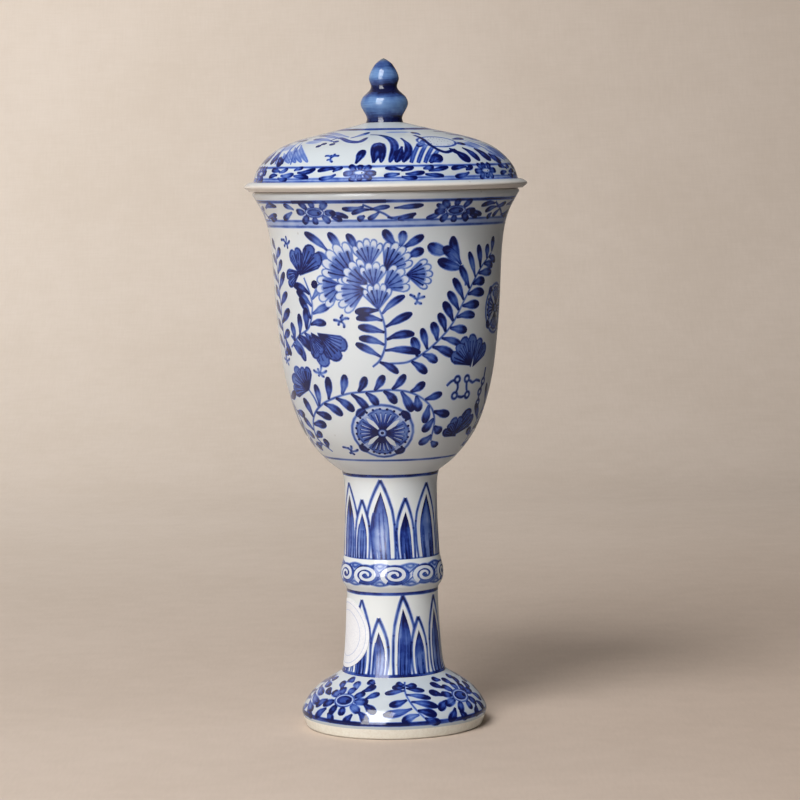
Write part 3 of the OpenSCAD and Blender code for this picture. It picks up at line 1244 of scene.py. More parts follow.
    def wheel(self, middle: Spot, radius: float) -> None:
        """Paint a round flower of four streaked petals, with white bars between them.

        Args:
            middle: Its spot.
            radius: Its radius.
        """
        wash = ((0.15, 1.1), (0.42, 0.88), (0.7, 0.62), (0.92, 0.46), (1.0, 0.4))
        shares = np.linspace(-1, 1, 17)
        reach = radius * (0.8 - 0.1 * shares ** 4 + 0.05 * np.abs(np.sin(shares * 4.7)))
        self.oval(middle, radius, radius, ((0.02, 0.5), (0.6, 0.34), (0.82, 0.12), (1.0, 0.1)), 0.42, 0.68)
        for quarter in range(4):
            axis = quarter * TURN / 4 - 0.08
            border = self.shape(middle, reach, axis + shares * 0.66, wash)
            self.ribbon(border, 0.24, 0.74)
            for lean in np.linspace(-0.52, 0.52, 6):
                self.ray(middle, axis + lean, (0.3 * radius, 0.74 * radius), (0.1, 0.24, 0.22, 0.12), 1.0)
            for lean in np.linspace(-0.35, 0.35, 4):
                path = self.outward(middle, axis + lean, radius * np.array([0.4, 0.55, 0.7]))
                self.ribbon(path, (0.05, 0.2, 0.22), 0.2, lay=Lay.RESERVE)
            for lean in np.linspace(-0.62, 0.62, 6):
                self.dot(self.step(middle, axis + lean, 0.86 * radius), 0.55, 1.0)
            corner = axis + TURN / 8
            bar = self.outward(middle, corner, radius * np.array([0.18, 0.3, 0.5, 0.7]))
            self.ribbon(bar, (0.35, 0.75, 1.0, 0.2), 0.06, lay=Lay.RESERVE)
            leans = np.linspace(-0.2, 0.2, 5)
            lobe = np.array([self.step(middle, corner + lean, 0.97 * radius) for lean in leans])
            self.ribbon(lobe, (0.5, 1.2, 1.5, 1.2, 0.5), 0.9, 1.15)
        self.oval(middle, 1.7, 1.7, ((0.02, 0.2), (1.0, 0.25)), 0.3, 0.98)
        self.dot(middle, 0.7, 1.05)

    def border_flower(self, middle: Spot, wide: float, high: float, petals: int, long: float) -> None:
        """Paint an oval-hearted flower with dark petals.

        Args:
            middle: Its spot.
            wide: Half the heart's width.
            high: Half the heart's height.
            petals: Number of petals.
            long: Length of a petal.
        """
        radius = float(self.wall.radius_at(middle[1]))
        for number in range(petals):
            way = number / petals * TURN + self.hand.uniform(-0.1, 0.1)
            across, up = 1.05 * wide * math.cos(way), 1.05 * high * math.sin(way)
            base = (middle[0] + across / radius, middle[1] + up)
            out = math.atan2(up * wide / high, across)
            reach = long * (0.6 + 0.4 * abs(math.cos(out))) * self.about(0.12)
            tip = self.step(base, out, reach)
            self.stroke(base, tip, 0.3 * long, self.leaf_tone, self.about(0.15), 0.0, self.petal_swell)
        self.oval(middle, wide, high, ((0.02, 0.1), (1.0, 0.1)), 0.2, 0.7)
        if high > 1.5:
            self.oval(middle, wide * 0.72, high * 0.62, ((0.02, 0.56), (0.6, 0.6), (1.0, 0.84)), 0.14, 0.9)
        self.dot((middle[0] + 0.4 * wide / radius, middle[1] - 0.1 * high), 0.3 * high, 1.05)

    def lappet(self, turn: float, base: float, tip: float, half: float, fill: float) -> None:
        """Paint an upright pointed leaf panel.

        Args:
            turn: Angle of its middle, in degrees.
            base: Height of its foot in millimetres.
            tip: Height of its point.
            half: Half its width.
            fill: Share of its height that the inner wash reaches.
        """
        middle = math.radians(turn)
        low, high = self.see((0.0, base))[1], self.see((0.0, tip))[1]
        lean = self.hand.uniform(-0.6, 0.6)
        shares = np.linspace(0, 1, 17)
        arch = profile(self.arch_swell, shares)

        def side(lane: float, width: float, top: float) -> np.ndarray:
            """Go up a pointed arch.

            Args:
                lane: Place across the arch, from -1 at its left edge to 1 at its right.
                width: Half the arch's width.
                top: Distance up the wall of its point.

            Returns:
                The spots.
            """
            run = low + (top - low) * shares
            across = lane * width * arch + lean * np.sin(shares * math.pi) + 0.5 * lean * shares
            return np.column_stack([middle + across / self.wall.radius_at(run), run])

        count = len(shares)
        self.canvas.lay(np.stack([side(-1, half, high), side(1, half, high)]), np.full((2, count), 0.03),
                        np.zeros((2, count, 2)), Lay.RESERVE)
        top = low + (high - low) * fill * self.about(0.03)
        inner = half * 0.65
        lanes = (-1.0, -0.75, -0.3, 0.2, 0.75, 1.0)
        load = [self.hand.uniform(0.6, 1.3) * (1.25 if abs(lane) == 1 else 1.0) for lane in lanes]
        wash = np.stack([side(lane, inner, top) for lane in lanes])
        along = shares * (top - low)
        grain = np.stack([np.column_stack([along, np.full(count, lane * half)]) for lane in lanes])
        self.canvas.lay(wash, np.outer(load, profile(self.arch_fade, shares)), grain)
        for lane in (-0.45, 0.35):
            drip = side(lane + self.hand.uniform(-0.3, 0.3), inner, top)[: self.hand.randint(3, 4)]
            self.ribbon(drip, np.linspace(0.3, 0.05, len(drip)), 0.2, lay=Lay.RESERVE)
        for lane in (-0.75, -0.2, 0.3, 0.7):
            strand = side(lane + self.hand.uniform(-0.3, 0.3), inner, top)[: self.hand.randint(6, 13)]
            self.ribbon(strand, np.linspace(0.42, 0.1, len(strand)), np.linspace(1.0, 0.7, len(strand)))
        thick, depth = profile(self.arch_line, shares), profile(self.arch_depth, shares)
        for lane in (-1, 1):
            edge = side(lane, half, high)
            self.ribbon(edge, thick * self.about(0.15), depth)
            self.dot(tuple(edge[self.hand.randint(7, 9)]), 0.5, 0.8)

    def volute(self, middle: Spot, wide: float, high: float) -> None:
        """Paint one curl of a running scroll: a blue oval with a white rope wound in it.

        Args:
            middle: Its spot.
            wide: Half its width.
            high: Half its height.
        """
        self.oval(middle, wide, high, ((0.02, 0.78), (1.0, 0.6)), 0.26, 0.8)
        radius = float(self.wall.radius_at(middle[1]))
        count = 40
        angles = np.linspace(1.3 * math.pi, -2.1 * math.pi, count)
        shrink = np.linspace(0.92, 0.15, count)
        path = np.column_stack([middle[0] + wide * shrink * np.cos(angles) / radius,
                                middle[1] + high * shrink * np.sin(angles)])
        half = (0.54 + 0.36 * np.abs(np.cos(angles))) * np.linspace(1.0, 0.6, count)
        self.ribbon(path, half, 0.07, lay=Lay.RESERVE)


def linked(name: str, data: bpy.types.ID) -> bpy.types.Object:
    """Make an object of a mesh, a lamp or a camera, and link it to the scene."""
    bpy.context.scene.collection.objects.link(made := bpy.data.objects.new(name, data))
    return made


def spin_round(solid: bmesh.types.BMesh, steps: int = COLUMNS) -> None:
    """Spin all points and edges of a bmesh once round the upright axis."""
    bmesh.ops.spin(solid, geom=solid.verts[:] + solid.edges[:], cent=(0, 0, 0), axis=(0, 0, 1), angle=TURN,
                   steps=steps, use_merge=True)


def smooth_mesh(solid: bmesh.types.BMesh, name: str) -> bpy.types.Mesh:
    """Turn a bmesh into a smooth mesh.

    Args:
        solid: The bmesh, which is freed.
        name: The mesh's name.

    Returns:
        The mesh.
    """
    mesh = bpy.data.meshes.new(name)
    solid.to_mesh(mesh)
    solid.free()
    mesh.shade_smooth()
    return mesh


@dataclass
class Piece:
    """A piece that stands for one CAD node.

    Attributes:
        node: The CAD node.
        body: The CAD body that it moves with.
        finish: Its finish.
        slot: The record's material slot; not used.
    """

    node: str
    body: str
    finish: Finish
    slot: str

    def dress(self, mesh: bpy.types.Mesh) -> None:
        """Give the piece's mesh its finish."""
        mesh.materials.append(self.finish.make())

    def settle(self, kind: str, mesh: bpy.types.Mesh) -> bpy.types.Object:
        """Dress the piece and set it on its body in place of its node.

        Args:
            kind: Last word of its name.
            mesh: Its mesh.

        Returns:
            The finished object.
        """
        self.dress(mesh)
        piece = linked(f"{self.node}_{kind}", mesh)
        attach(piece, self.body)
        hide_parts(self.node)
        return piece


@dataclass
class Section(Piece):
    """A turned piece of painted porcelain.

    Attributes:
        below: The CAD node whose top is the joint that its outside starts from.
        ground: Heights and the depth of the wash on its outside there.
        inside: Finish of its inside where that is bare.
        lines: Height, half width, depth and waver of each line that is drawn round it last.
    """

    weld: ClassVar[float] = 2e-6
    on_axis: ClassVar[float] = 1e-3
    sharp: ClassVar[float] = 40.0
    slot: str = "painted_porcelain"
    below: Optional[str] = None
    ground: Points = ((0.0, 0.0),)
    inside: Optional[BareClay] = None
    lines: tuple[Band, ...] = ()

    def build(self, hand: random.Random) -> bpy.types.Object:
        """Make the piece, paint it and set it on its body.

        Args:
            hand: Source of the small unevenness of a hand.

        Returns:
            The finished object.
        """
        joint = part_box(self.below)[1].z / MM if self.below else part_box(self.node)[0].z / MM
        outline = Outline.read(self.node, joint)
        canvas = Canvas(Wall(outline.wall), self.ground)
        brush = Painter(canvas, hand)
        self.paint(brush)
        for line in self.lines:
            brush.band(*line)
        mesh = canvas.imprint()
        self.close(mesh, outline.rest)
        return self.settle("porcelain", mesh)

    def paint(self, brush: Painter) -> None:
        """Paint the outside; a plain section has nothing on it."""

    def dress(self, mesh: bpy.types.Mesh) -> None:
        """Give the piece's mesh its finishes, outside first."""
        for finish in filter(None, (self.finish, self.inside)):
            mesh.materials.append(finish.make())

    def close(self, mesh: bpy.types.Mesh, rest: np.ndarray) -> None:
        """Spin the inside, join it to the painted wall and set the normals.

        Args:
            mesh: The wall's mesh, which becomes the whole piece.
            rest: Radius and height of the outline from the wall's top round to its bottom.
        """
        solid = bmesh.new()
        verts = [solid.verts.new((0.0, radius * MM, height * MM)) for radius, height in rest]
        for pair, low, high in zip(zip(verts, verts[1:]), rest, rest[1:]):
            if max(low[0], high[0]) > self.on_axis:
                solid.edges.new(pair)
        spin_round(solid)
        loose = [vert for vert in solid.verts if not vert.link_faces]
        bmesh.ops.delete(solid, geom=loose, context="VERTS")
        self._map_inside(solid, rest)
        solid.from_mesh(mesh)
        bmesh.ops.remove_doubles(solid, verts=solid.verts, dist=self.weld)
        bmesh.ops.recalc_face_normals(solid, faces=solid.faces)
        solid.to_mesh(mesh)
        solid.free()
        mesh.shade_smooth()
        mesh.set_sharp_from_angle(angle=math.radians(self.sharp))
        normals = np.zeros(len(mesh.loops) * 3, np.float32)
        mesh.attributes["outward"].data.foreach_get("vector", normals)
        mesh.normals_split_custom_set(normals.reshape(-1, 3).tolist())
        mesh.attributes.remove(mesh.attributes["outward"])

    def _map_inside(self, solid: bmesh.types.BMesh, rest: np.ndarray) -> None:
        """Lay the spun faces out on the bake map's lower part.

        Args:
            solid: The spun inside.
            rest: Radius and height of its outline.
        """
        layer = solid.loops.layers.uv.new(BAKE_MAP)
        steps = np.linalg.norm(np.diff(rest, axis=0), axis=1)
        share = np.concatenate([[0.0], np.cumsum(steps)]) / steps.sum()
        for face in solid.faces:
            face.material_index = 1 if self.inside else 0
            middle = face.calc_center_median()
            centre = math.atan2(middle.x, -middle.y)
            for corner in face.loops:
                place = corner.vert.co
                radius = math.hypot(place.x, place.y) / MM
                turn = math.atan2(place.x, -place.y) if radius > self.on_axis else centre
                turn += TURN * round((centre - turn) / TURN)
                nearest = int(np.argmin((rest[:, 0] - radius) ** 2 + (rest[:, 1] - place.z / MM) ** 2))
                corner[layer].uv = (turn / TURN + 0.5, share[nearest] * (WALL_FROM - MAP_GAP))


@dataclass
class Foot(Section):
    """The spreading foot: oval-hearted flowers and leaf sprays above a bare clay rim."""

    flowers: Angles = (-38, 55, 147, 235)
    sprays: Angles = (10, 101, 190, 279)
    flower_height: float = 14.0
    stem: Points = ((6.5, 7.2), (2.5, 11.3), (0, 15), (-0.5, 17.8), (0.3, 20.2))
    spray_leaves: Blades = (
        (-9.5, 4.2, -0.7, 5.8), (-7.5, -1.4, -0.4, 1), (-9.5, -5.4, 1, -3), (-3, -8.4, 3.2, -5.8),
        (-6.5, 8, -0.2, 7.6), (8.5, 5.2, 0.2, 7.2), (9.5, 0.8, -0.4, 3.6), (11, -3.2, 1, 0),
        (9.6, -6.6, 2.8, -4), (10.5, -9.2, 5, -7.2), (6, 8.8, 0.2, 8.6), (-4.5, 10.2, -0.4, 9),
    )
    leaves: Blades = (
        (-13.5, -5, -8.5, -1), (-11, -9.4, -6.5, -4.6), (-14.5, 4.4, -9, 1.4), (-10.5, 9.2, -5.6, 5),
        (-0.6, 10.4, 2.5, 5.6), (11, 9.2, 6, 5), (14.5, 4.6, 9, 1.4), (2.8, -9.8, 5.6, -5.6),
        (11.5, -9.4, 7.6, -4.4), (14, -5, 9, -1), (-2.2, -9.8, -5, -6.2), (-7.5, 11.4, -2.4, 9.6),
        (6, 11.2, 10.8, 9.4),
    )
    lines: tuple[Band, ...] = ((6.3, 0.66, 0.9, 0.05),)

    def paint(self, brush: Painter) -> None:
        """Paint the flowers and the sprays between them.

        Args:
            brush: The hand that paints.
        """
        for turn in self.sprays:
            side = brush.turned(turn)
            side.line(self.stem, 0.3, 0.7)
            side.border(self.spray_leaves, self.flower_height, 1.5)
        for turn in self.flowers:
            side = brush.turned(turn)
            side.border(self.leaves, self.flower_height, 1.6, 1.15)
            side.border_flower(side.see((0.0, self.flower_height)), 4.6, 3.0, 9, 5.6)


@dataclass
class Stem(Section):
    """A length of the stem with tall and short pointed leaf panels by turns."""

    tall: Angles = ()
    short: Angles = ()
    base: float = 0.0
    tall_tip: float = 0.0
    short_tip: float = 0.0
    tall_half: float = 4.5
    short_half: float = 3.7

    def paint(self, brush: Painter) -> None:
        """Paint the panels.

        Args:
            brush: The hand that paints.
        """
        for turn in self.tall:
            tip = self.tall_tip + brush.hand.uniform(-1.4, 1.2)
            brush.lappet(turn, self.base, tip, self.tall_half, 0.85)
        for turn in self.short:
            tip = self.short_tip + brush.hand.uniform(-0.8, 0.8)
            brush.lappet(turn, self.base, tip, self.short_half, 0.77)


@dataclass
class LowerStem(Stem):
    """The stem between foot and ring."""

    tall: Angles = (-42, 11.8, 62, 113, 164, 216, 267)
    short: Angles = (-18.5, 33, 86, 137, 188, 239, 292)
    base: float = 22.2
    tall_tip: float = 52.2
    short_tip: float = 44.0
    lines: tuple[Band, ...] = ((21.8, 0.64, 0.75, 0.08), (53.9, 0.64, 0.8, 0.08))


@dataclass
class UpperStem(Stem):
    """The stem between ring and bowl."""

    tall: Angles = (-62.7, -11.7, 50, 112, 173.6, 235.4)
    short: Angles = (-38.4, 18.7, 81, 142.7, 204.5, 266.4)
    base: float = 67.3
    tall_tip: float = 97.2
    short_tip: float = 90.6
    tall_half: float = 5.7
    short_half: float = 3.6
    lines: tuple[Band, ...] = ((67.3, 0.3, 0.5, 0.08), (99.75, 0.64, 0.85, 0.08))


@dataclass
class StemRing(Section):
    """The bamboo-joint ring with a running scroll."""

    turns: Angles = (-64, -31, 3, 40, 77, 114, 150, 186, 222, 259)
    middle: float = 61.3
    half: float = 4.1

    def paint(self, brush: Painter) -> None:
        """Paint the pale band, the links and the curls reserved on it.

        Args:
            brush: The hand that paints.
        """
        brush.band(self.middle, self.half, 0.14, 0.0)
        for turn, follow in zip(self.turns, self.turns[1:] + (self.turns[0] + 360,)):
            side = brush.turned((turn + follow) / 2)
            link = ((-4.2, self.middle - 3.2), (0.0, self.middle), (4.2, self.middle + 3.2))
            side.line(link, 1.25, 0.78)
            side.line(link, 0.85, 0.1, 1.0, Lay.RESERVE)
            for edge in (-1, 1):
                rise = self.middle + edge * self.half
                end, fold, dip = rise - edge * 0.9, rise - edge * 0.6, rise - edge * 1.5
                side.line(((-4.4, end), (0.0, rise), (4.4, end)), 0.38, 0.66)
                side.line(((-1.9, fold), (0.0, dip), (1.9, fold)), 0.5, 0.6)
        for turn in self.turns:
            side = brush.turned(turn)
            side.volute(side.see((0.0, self.middle + brush.hand.uniform(-0.2, 0.2))), 5.7, 3.6)


@dataclass
class Bowl(Section):
    """The deep bowl: blossoms, leafy branches and round flowers under a flowered lip."""

    sprays: tuple[Spray, ...] = (
        Spray(((-22, 109.5), (-28, 115), (-29, 123), (-25, 129), (-16, 133),
               (-7, 134), (1.5, 134.5), (9, 133), (15, 128.5), (17, 122.5), (15.5, 114)),
              14, 8.2, 58),
        Spray(((0, 144.6), (7, 145), (12.5, 147.8), (18, 152), (24, 158.5), (29.5, 168.5),
               (35, 178.5), (40, 185)), 12, 9, 62, 5, 0.13),
        Spray(((-6, 143.4), (-3.2, 146), (-1.2, 151), (-1, 157), (-2, 162), (-3.5, 166)),
              5, 11.5, 80, 2, 0.12, 0.96, 1.45),
        Spray(((-37, 150), (-34, 154.5), (-30, 158), (-28.5, 164.5), (-29, 170),
               (-31.5, 177)), 6, 8.6, 60, 0, 0.05, 0.8),
        Spray(((-39.5, 146), (-40.5, 159), (-41, 167), (-41.8, 176.5), (-42.5, 187)),
              7, 8.6, 56),
    )
    side_sprays: tuple[Spray, ...] = (
        Spray(((-13, 110), (-12, 122), (-4, 131.5), (7, 131), (13, 122), (12.5, 112)),
              9, 9.2),
        Spray(((-1, 148), (1.5, 159), (0.5, 170), (2.5, 181), (1, 192)), 10, 7.4, 58),
    )
    bud_stalk: Points = ((29.5, 173), (29.5, 177), (28.5, 181))
    bud_blades: Blades = (
        (15.5, 189, 24, 186.5), (25, 192, 28, 181), (19, 183, 29, 179.5), (21, 187.5, 28, 181),
    )
    cluster_stalk: Points = ((-22.5, 187.5), (-17.5, 182), (-13, 176.5), (-8, 171.5), (-4, 166))
    cluster_blades: Blades = (
        (-31, 194, -22, 187), (-22, 194, -17, 186), (-15, 193.5, -11.5, 187), (-1, 195, 3.5, 189),
        (14, 192.5, 6, 188), (14, 187, 7.5, 184.5), (-27, 186, -21, 183), (6, 194.5, 5, 188.5),
    )
    blossoms: Blades = (
        (-25.5, 171, -17, 174.5), (-21.5, 186, -12, 177), (-7.5, 190.5, -6.5, 181), (6, 187.5, -1, 179.5),
        (-18.5, 170, -8, 172.5), (-14.5, 181, -7.5, 174.5), (-5.5, 182, -5, 173.5), (6.5, 178, -1.5, 173),
        (16, 178, 7, 178), (-4, 174, -3.5, 165),
    )
    dark_fans: Blades = (
        (-27, 186.5, -33, 178), (-35, 187, -33, 178), (-37.5, 176, -33, 179), (-22, 146, -29, 156),
        (-17.5, 149, -26.5, 156), (-26, 148, -30, 155), (-36, 140, -30.5, 134), (-32, 142, -30.5, 134),
        (-36.5, 135.5, -30.5, 134), (36, 150.5, 32, 142), (30.5, 153, 31, 142), (25.5, 148.5, 31, 142.5),
        (31, 123, 24, 115.5), (26, 122, 24, 115), (22, 118.5, 25, 115),
    )
    ball_bud: Point = (-27.5, 174.5)
    strip_blades: Blades = ((-31.5, 145, -37, 154.5), (-29, 149, -34, 155), (-37, 147, -39.5, 154))
    tulip_stalk: Points = ((-27, 127.5), (-28.5, 131), (-30.5, 134))
    wheel_point: Point = (-2.8, 117.8)
    side_wheel: Point = (41.3, 163.5)
    side_fans: Blades = ((0, 124, 0, 113), (-7, 120.5, -1, 113), (7, 120.5, 1, 113))
    marks: Points = ((-38.5, 190), (-17.5, 160.5), (11, 168.5), (-26, 141), (-15, 110.5), (-39, 144.5))
    knot_rings: Points = (
        (26, 137.4), (29.7, 137.4), (24.8, 131.2), (29.7, 131.1), (36.1, 135.6), (34.7, 131.6),
        (33.9, 127.3),
    )
    knot_lines: tuple[Points, ...] = (
        ((21.8, 135.2), (23.6, 136.8), (25, 137.3)), ((26, 136.2), (26.1, 134.2), (25.3, 132.3)),
        ((29.6, 136.1), (29.5, 134.3), (29.6, 132.4)), ((26, 130.9), (27.4, 130.4), (28.6, 130.8)),
        ((30.6, 136.8), (31.9, 135.7), (33.3, 136.5), (34.9, 135.8)), ((36.5, 137), (37.2, 141)),
        ((35.9, 134.3), (35.3, 133.4), (34.9, 132.7)), ((34.5, 130.4), (34.3, 129.4), (34, 128.4)),
    )
    lip_flowers: Angles = (-34, 33, 106, 179, 252)
    lip_leaves: Blades = (
        (14, -2.2, 6.5, 0), (11.5, -3.2, 7, -1.8), (12, 1.6, 20.5, 2.4), (15.5, -0.8, 22.5, 1),
        (30, 2.3, 22.5, 1), (21.5, -2.8, 26, 0), (42.5, 2.6, 31.5, 1.6), (40, -0.8, 29, -2.2),
        (44, -2.9, 51, 0.2), (47.5, 3, 52.5, 1.2), (33, -3.2, 39, -2.6), (17.5, -3.2, 20.5, -1.4),
    )
    lip_stem: Points = ((20, 3.2), (24, 1.2), (28, -0.8), (31, -3))
    lip_middle: float = 201.6
    lines: tuple[Band, ...] = (
        (205.6, 0.55, 0.95, 0.06), (197.3, 1.1, 0.2, 0.03), (198.4, 0.32, 0.62, 0.05),
        (196.2, 0.34, 0.62, 0.05), (106.5, 0.4, 0.74, 0.08),
    )

    def paint(self, brush: Painter) -> None:
        """Paint the field twice round, the two sides between and the lip.

        Args:
            brush: The hand that paints.
        """
        for facing in (0.0, 180.0):
            self.paint_field(brush.turned(facing))
        for facing in (-93.0, 93.0):
            self.paint_side(brush.turned(facing))
        self.paint_lip(brush)

    def paint_field(self, brush: Painter) -> None:
        """Paint the sprays and flowers that are seen from one side.

        Args:
            brush: The hand, on that side.
        """
        for spray in self.sprays:
            brush.spray(spray)
        for points in (self.bud_stalk, self.tulip_stalk, self.cluster_stalk):
            brush.line(points, 0.36, 0.7)
        for ends in self.bud_blades:
            brush.blade(ends, 2.4)
        for ends in self.strip_blades + self.cluster_blades:
            brush.blade(ends, 1.7)
        for ends in self.dark_fans:
            brush.fan(ends, DARK_FAN, 0.5, 2)
        for ends in self.blossoms:
            brush.fan(ends, OPEN_FAN, 0.74, brush.hand.choice((4, 5)))
        brush.dot(brush.see(self.ball_bud), 1.7, 1.1)
        brush.wheel(brush.see(self.wheel_point), 11.7)
        brush.wheel(brush.see(self.side_wheel), 9.5)
        for point in self.marks:
            brush.mark(point)
        for points in self.knot_lines:
            brush.line(points, 0.48, 0.95)
        for point in self.knot_rings:
            brush.oval(brush.see(point), 1.25, 1.25, ((0.02, 0.05), (1.0, 0.05)), 0.42, 0.95)

    def paint_side(self, brush: Painter) -> None:
        """Paint an arched spray over a dark flower between the two fields.

        Args:
            brush: The hand, on that side.
        """
        for spray in self.side_sprays:
            brush.spray(spray)
        for ends in self.side_fans:
            brush.fan(ends, DARK_FAN, 0.46, 2)

    def paint_lip(self, brush: Painter) -> None:
        """Paint the lip's border: flowers with leaves between them.

        Args:
            brush: The hand that paints.
        """
        for turn in self.lip_flowers:
            side = brush.turned(turn)
            stem = np.array([side.at(along, up, self.lip_middle) for along, up in self.lip_stem])
            side.ribbon(stem, 0.3, 0.8)
            side.border(self.lip_leaves, self.lip_middle, 1.0, 1.0)
            side.border_flower(side.see((0.0, self.lip_middle)), 4.4, 1.9, 8, 4.6)


@dataclass
class Cover(Section):
    """The domed cover: rocks, leaves and a reserved flower above a flowered border."""

    leaf_blades: Blades = ((-8, 224.8, -11, 219.6), (-2.2, 226.2, -4.4, 219.8))
    long_leaves: tuple[Points, ...] = (
        ((-5.5, 230.4), (-1, 230), (2.6, 228.2), (3.6, 225), (1.6, 219.8)),
        ((6, 229), (8.4, 226.6), (8.6, 223.6), (6.6, 219.8)), ((6.4, 225.8), (5.4, 222.8), (4, 219.8)),
        ((-4.4, 219.8), (-4.6, 223), (-3.6, 226.2), (-1.6, 226.6), (-1, 223.4), (-1.6, 219.8)),
    )
    rock: Blades = (
        (13.6, 227.4, 9.6, 219.6), (16, 226.8, 12.2, 219.5), (18.4, 226, 14.8, 219.5),
        (20.4, 224.6, 17, 219.5),
    )
    wedges: Blades = (
        (21.5, 221.6, 16.5, 219.6), (32, 219.6, 26, 224), (35.5, 219.8, 29, 225), (40, 219.8, 33.5, 224.6),
        (44, 219.6, 39, 222.6),
    )
    flower_point: Point = (19.5, 227.6)
    flower_wide: float = 8.2
    flower_high: float = 5.2
    flower_edge: Points = ((11, 230), (14, 228.6), (18, 225.4), (22.5, 223.4), (26.5, 224.4))
    bird: Points = ((-20.5, 228.4), (-17, 229.4), (-13.5, 228), (-9.5, 227.8), (-6.5, 229.4))
    dabs: Points = ((-25, 226.4), (-23, 227.2), (-19.8, 227), (-18.4, 228))
    wing: Blades = (
        (-27, 229, -19.5, 228), (-25, 230.4, -17, 229), (-21.5, 231.4, -13.5, 229.6),
        (-6, 231.4, -13, 229.2),
    )
    tufts: Blades = (
        (29.5, 228.6, 25.5, 228.2), (30, 226.6, 26, 226.8), (27.5, 222.6, 24, 224.8), (12, 225.6, 14, 228),
        (10.4, 231.2, 13.4, 230),
    )
    mark: Point = (-20.2, 221.8)
    hatch: Blades = (
        (-29, 220.4, -31.6, 227), (-31.4, 220.4, -34, 226.2), (-33.6, 220.3, -36.2, 225),
        (-36, 220.2, -38.4, 224), (-39, 220, -40.6, 222.6),
    )
    washes: tuple[Oval, ...] = (
        (-34, 224, 5, 3), (-27, 228, 5, 2.4), (-19, 229.6, 5, 1.8), (5, 231.2, 6, 1.6), (33, 226, 6, 3),
        (41, 222.6, 3.6, 2.4),
    )
    grass: Blades = ((44, 219.8, 27, 228.6), (41.5, 219.8, 26.5, 227.4), (46, 219.6, 31, 228))
    facings: Angles = (0, 122, 240)
    border_flowers: Angles = (-11, 49, 109, 169, 229, 289)
    border_leaves: Blades = (
        (9.5, 1.7, 16, 0.8), (9, -1.5, 15, -0.7), (20.5, 2, 15.5, 0.5), (24.5, -0.2, 17, -0.8),
        (21.5, -2.2, 15.5, -1.8), (34.5, 1.8, 26, 0.3), (32, -1.8, 24.5, -1), (36.5, -2.1, 43.5, -0.6),
        (35.5, 0.8, 43, 1.6), (28.5, 2.2, 24, 1.2), (46, 2.2, 42, 0.4),
    )
    border_middle: float = 216.3
    lines: tuple[Band, ...] = (
        (213.7, 0.9, 0.24, 0.02), (213.2, 0.34, 0.68, 0.04), (214.2, 0.3, 0.66, 0.04),
        (218.5, 0.42, 0.74, 0.05), (232.5, 1.5, 0.74, 0.05),
    )

    def paint(self, brush: Painter) -> None:
        """Paint the dome three times round, and its border.

        Args:
            brush: The hand that paints.
        """
        for facing in self.facings:
            self.paint_field(brush.turned(facing))
        self.paint_border(brush)

    def paint_field(self, brush: Painter) -> None:
        """Paint the rocks, leaves, bird and flower of one side of the dome.

        Args:
            brush: The hand, on that side.
        """
        wash = ((0.02, 0.34), (0.7, 0.26), (1.0, 0.04))
        for across, height, wide, high in self.washes:
            brush.oval(brush.see((across, height)), wide, high, wash, lay=Lay.OVER)
        for ends in self.grass:
            brush.stroke(*brush.ends(ends), 0.5, ((0, 0.4), (1, 0.8)), 1.0, 0.06)
        for ends in self.hatch:
            brush.stroke(*brush.ends(ends), 0.9, ((0, 0.3), (1, 0.42)), rim=1.4)
        for ends in self.leaf_blades:
            brush.blade(ends, 1.7, 1.2)
        for points in self.long_leaves:
            brush.line(points, 1.5, 0.86, 1.3, Lay.OVER, brush.leaf_swell)
        for ends in self.rock:
            brush.stroke(*brush.ends(ends), 0.7, ((0, 0.7), (1, 0.34)), 1.0, 0.05, brush.line_swell)
        for ends in self.wedges:
            brush.blade(ends, 2.1, 1.2)
        self.paint_flower(brush)
        for ends in self.tufts:
            brush.blade(ends, 1.3)
        for ends in self.wing:
            brush.blade(ends, 1.3, 0.62)
        brush.line(self.bird, 1.2, 0.72, 1.2, Lay.OVER, brush.leaf_swell)
        for point in self.dabs:
            brush.dot(brush.see(point), 1.3, 0.72)
        brush.mark(self.mark, 3.0)

    def paint_flower(self, brush: Painter) -> None:
        """Paint the reserved flower: a pale disc with stipples and a dark lower edge.

        Args:
            brush: The hand, on the flower's side.
        """
        middle = brush.see(self.flower_point)
        pale = ((0.02, 0.05), (0.8, 0.07), (1.0, 0.14))
        brush.oval(middle, self.flower_wide, self.flower_high, pale, 0.36, 0.74)
        brush.line(self.flower_edge, 0.7, 0.92)
        for _ in range(40):
            way = brush.hand.uniform(0, 6.28)
            share = math.sqrt(brush.hand.random()) * 0.85
            far = share * oval_reach(self.flower_wide, self.flower_high, way)
            brush.dot(brush.step(middle, way, far), 0.2, 0.78)

    def paint_border(self, brush: Painter) -> None:
        """Paint the border round the rim: flowers with leaves between them.

        Args:
            brush: The hand that paints.
        """
        for turn in self.border_flowers:
            side = brush.turned(turn)
            side.border(self.border_leaves, self.border_middle, 0.85, 1.1)
            side.border_flower(side.see((0.0, self.border_middle)), 2.2, 1.0, 8, 3.8)


@dataclass
class Knop(Section):
    """The blue knop: a bulb and a bud, with dark glaze pooled in its necks."""

    ground: Points = (
        (235.2, 1.2), (237.2, 0.95), (239, 0.5), (241.4, 0.32), (244.2, 0.38), (246.2, 0.8), (247.6, 1.2),
        (249, 1.2), (250.4, 0.8), (253, 0.4), (255.4, 0.5), (257, 0.82), (260, 0.7),
    )


